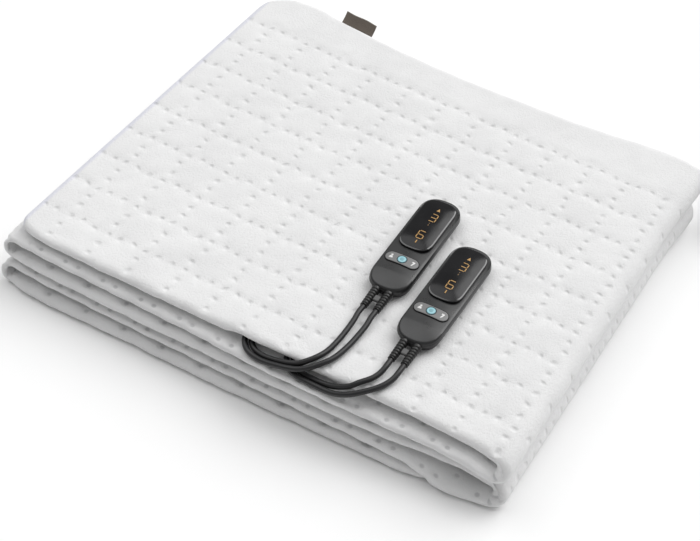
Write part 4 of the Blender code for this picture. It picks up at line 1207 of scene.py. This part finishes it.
def plug(tag, finish, metal):
    """Flat two-pin plug: rounded oblong sections along its length, ribbed at the neck, with round pins."""
    x, rear, z = plug_rear(tag)
    long, neck, nose_long = 42.0, 11.0, 3.0
    t = np.linspace(0.0, 1.0, 60)
    along = long * t
    body = smooth_step((along - neck) / 8.0)
    nose = 1.2 * smooth_step((along - (long - nose_long)) / nose_long)
    wide = (8.0 + 1.5 * t) + (25.4 - 9.5) * body - nose
    tall = (8.0 + 0.6 * t) + (13.2 - 8.6) * body - nose
    ribs = 0.45 * (np.abs(np.sin(along * math.pi / 2.6)) ** 0.5 - 1) * (along < neck)
    turn = np.linspace(0.0, 2 * math.pi, 40, endpoint=False)
    power = 2 / 2.8
    u = np.sign(np.cos(turn)) * np.abs(np.cos(turn)) ** power
    v = np.sign(np.sin(turn)) * np.abs(np.sin(turn)) ** power
    rings = np.dstack([
        x + (wide / 2 + ribs)[:, None] * u,
        rear + along[:, None] + 0 * u,
        z + (tall / 2 + ribs)[:, None] * v,
    ])
    body_piece = finish_piece(loft(f"plug_{tag}_body", rings, finish), "black lead", f"plug_{tag}")
    pins, apart = [], 19.0
    profile = [(2.0, 40.0), (2.0, 58.0), (1.8, 59.6), (1.2, 60.6), (0.4, 61.0)]
    for side in (-1, 1):
        rings = turned(profile, 20, (x + side * apart / 2, rear, z))
        pin = loft(f"plug_{tag}_pin_{'left' if side < 0 else 'right'}", rings, metal)
        finish_piece(pin, "black lead")
        pins.append(pin)
    return body_piece, pins


def nickel_material():
    """Dull nickel, its gloss uneven by fine streaks."""
    made = material("nickel pins", (0.55, 0.54, 0.5), 0.3, Metallic=1.0)
    tree = made.node_tree
    streaks = place_group(tree, GRAIN, Vector=coordinates(tree), Size=0.5)
    rough = span(tree, streaks["Gloss"], 0.3, 0.7, 0.22, 0.42)
    tree.links.new(rough, tree.nodes["Principled BSDF"].inputs["Roughness"])
    return made


def lead_points(tag, side, *route):
    """Points of a lead: out of its sleeve, straight on for a little, and along its route."""
    start = relief_end(tag, side)
    straight = (start[0], start[1] - 9.0, start[2] - 0.4)
    return through([start, straight, *route], ROUTE_STEP)


def leads():
    """The four leads: two into the blanket, and two through it to their coils and plugs."""
    black = plastic_material("black lead sheath", (0.012, 0.012, 0.013), 0.42, 0.25, 0.00002)
    nickel = nickel_material()
    for tag, route in BLANKET_LEADS.items():
        points = lead_points(tag, -1, *route)
        item = add_lead(f"lead_into_blanket_{tag}", points, black)
        finish_piece(item, "black lead", f"blanket_lead_{tag}")
    for tag, route in MAINS_LEADS.items():
        wound = coil_turns(tag)
        points = lead_points(tag, 1, *route, *wound, *coil_tail(tag, wound[-1, 2]))
        item = add_lead(f"lead_to_mains_{tag}", points, black)
        finish_piece(item, "black lead", f"mains_lead_{tag}", f"mains_coil_{tag}", f"mains_tail_{tag}")
        body, pins = plug(tag, black, nickel)


def key_material():
    """Pale blue-green key plastic, dark where the key's rim attribute is 1."""
    made = plastic_material("pale blue-green key", (0.2, 0.5, 0.6), 0.35)
    tree = made.node_tree
    rim = node(tree, "ShaderNodeAttribute", attribute_name="rim").outputs["Fac"]
    tint = blend_colours(tree, rim, (0.36, 0.66, 0.73), (0.035, 0.12, 0.15))
    tree.links.new(tint, tree.nodes["Principled BSDF"].inputs["Base Color"])
    return made


def light_material(name, colour):
    """Dark amber plastic that gives off some light of its own."""
    made = material(name, (0.05, 0.03, 0.01), 0.4, Emission_Strength=1.0)
    made.node_tree.nodes["Principled BSDF"].inputs["Emission Color"].default_value = (*colour, 1.0)
    return made


def handsets():
    """Both handsets, piece by piece, in one set of materials."""
    black = (0.006, 0.006, 0.007)
    shell = plastic_material("dark pan plastic", (0.012, 0.012, 0.013), 0.42)
    graphite = plastic_material("graphite satin plastic", (0.016, 0.0165, 0.017), 0.3, 0.28, 0.000012,
                                Specular_IOR_Level=0.6)
    glass = plastic_material("black display glass", black, 0.2, 3.0, 0.0, Specular_IOR_Level=0.32)
    edge = plastic_material("polished display edge", black, 0.12, 3.0, 0.0, Specular_IOR_Level=1.0)
    grey = plastic_material("mid-grey key plastic", (0.19, 0.19, 0.19), 0.42)
    # Painted shade: near-black finish for the groove round the key plate and the hole round the key
    painted_gap_shade = plastic_material("dark gap", (0.006, 0.006, 0.006), 0.6, Specular_IOR_Level=0.2)
    teal = key_material()
    amber = light_material("amber light", (0.45, 0.26, 0.085))
    faint = light_material("faint amber mark", (0.13, 0.075, 0.03))
    white = material("pale key sign", (0.74, 0.74, 0.73), 0.5)
    rubber = plastic_material("black ribbed rubber", (0.009, 0.009, 0.009), 0.36, 0.4, 0.00002)
    web = plastic_material("grey web", (0.1, 0.1, 0.1), 0.5)
    for tag in "ab":
        handset_base(tag, shell)
        handset_cover(tag, graphite)
        handset_lens(tag, glass, edge)
        handset_plate(tag, grey, painted_gap_shade)
        handset_key(tag, teal, painted_gap_shade)
        handset_prints(tag, amber, white, faint)
        handset_reliefs(tag, rubber, web)


# ---------------------------------------------------------------- stage
def floor_plane():
    """A large pale floor that is not part of the object."""
    half = 4.0
    floor = material("pale floor", (0.96, 0.96, 0.96), 0.9)
    tree = floor.node_tree
    slow = node(tree, "ShaderNodeTexNoise", inputs={"Scale": 1.5})
    tree.links.new(coordinates(tree), slow.inputs["Vector"])
    shade = blend_colours(tree, slow.outputs[0], (0.955, 0.955, 0.955), (0.965, 0.965, 0.965))
    tree.links.new(shade, tree.nodes["Principled BSDF"].inputs["Base Color"])
    mesh = bpy.data.meshes.new("floor")
    corners = [(-half, -half, 0.0), (half, -half, 0.0), (half, half, 0.0), (-half, half, 0.0)]
    mesh.from_pydata(corners, [], [(0, 1, 2, 3)])
    mesh.materials.append(floor)
    item = bpy.data.objects.new("floor", mesh)
    bpy.context.scene.collection.objects.link(item)


def lamp(name, strength, spread, heading, rise):
    """A distant soft lamp, by the compass heading and the height that it shines from, in degrees."""
    data = bpy.data.lights.new(name, "SUN")
    data.energy, data.angle = strength, math.radians(spread)
    light = bpy.data.objects.new(name, data)
    bpy.context.scene.collection.objects.link(light)
    light.rotation_euler = (math.radians(90.0 - rise), 0.0, math.radians(heading + 90.0))


def stage():
    """The floor, an even pale surround and two soft lamps."""
    floor_plane()
    world = bpy.data.worlds.new("pale room")
    world.use_nodes = True
    world.node_tree.nodes["Background"].inputs["Color"].default_value = (1.0, 1.0, 1.0, 1.0)
    world.node_tree.nodes["Background"].inputs["Strength"].default_value = 0.335
    bpy.context.scene.world = world

    lamp("soft key", 2.04, 50.0, 66.0, 47.0)
    lamp("soft fill", 0.9, 50.0, 165.0, 60.0)
    bpy.context.scene.view_settings.view_transform = "Standard"


camera()
leads()
blanket()
label_tab()
handsets()
stage()
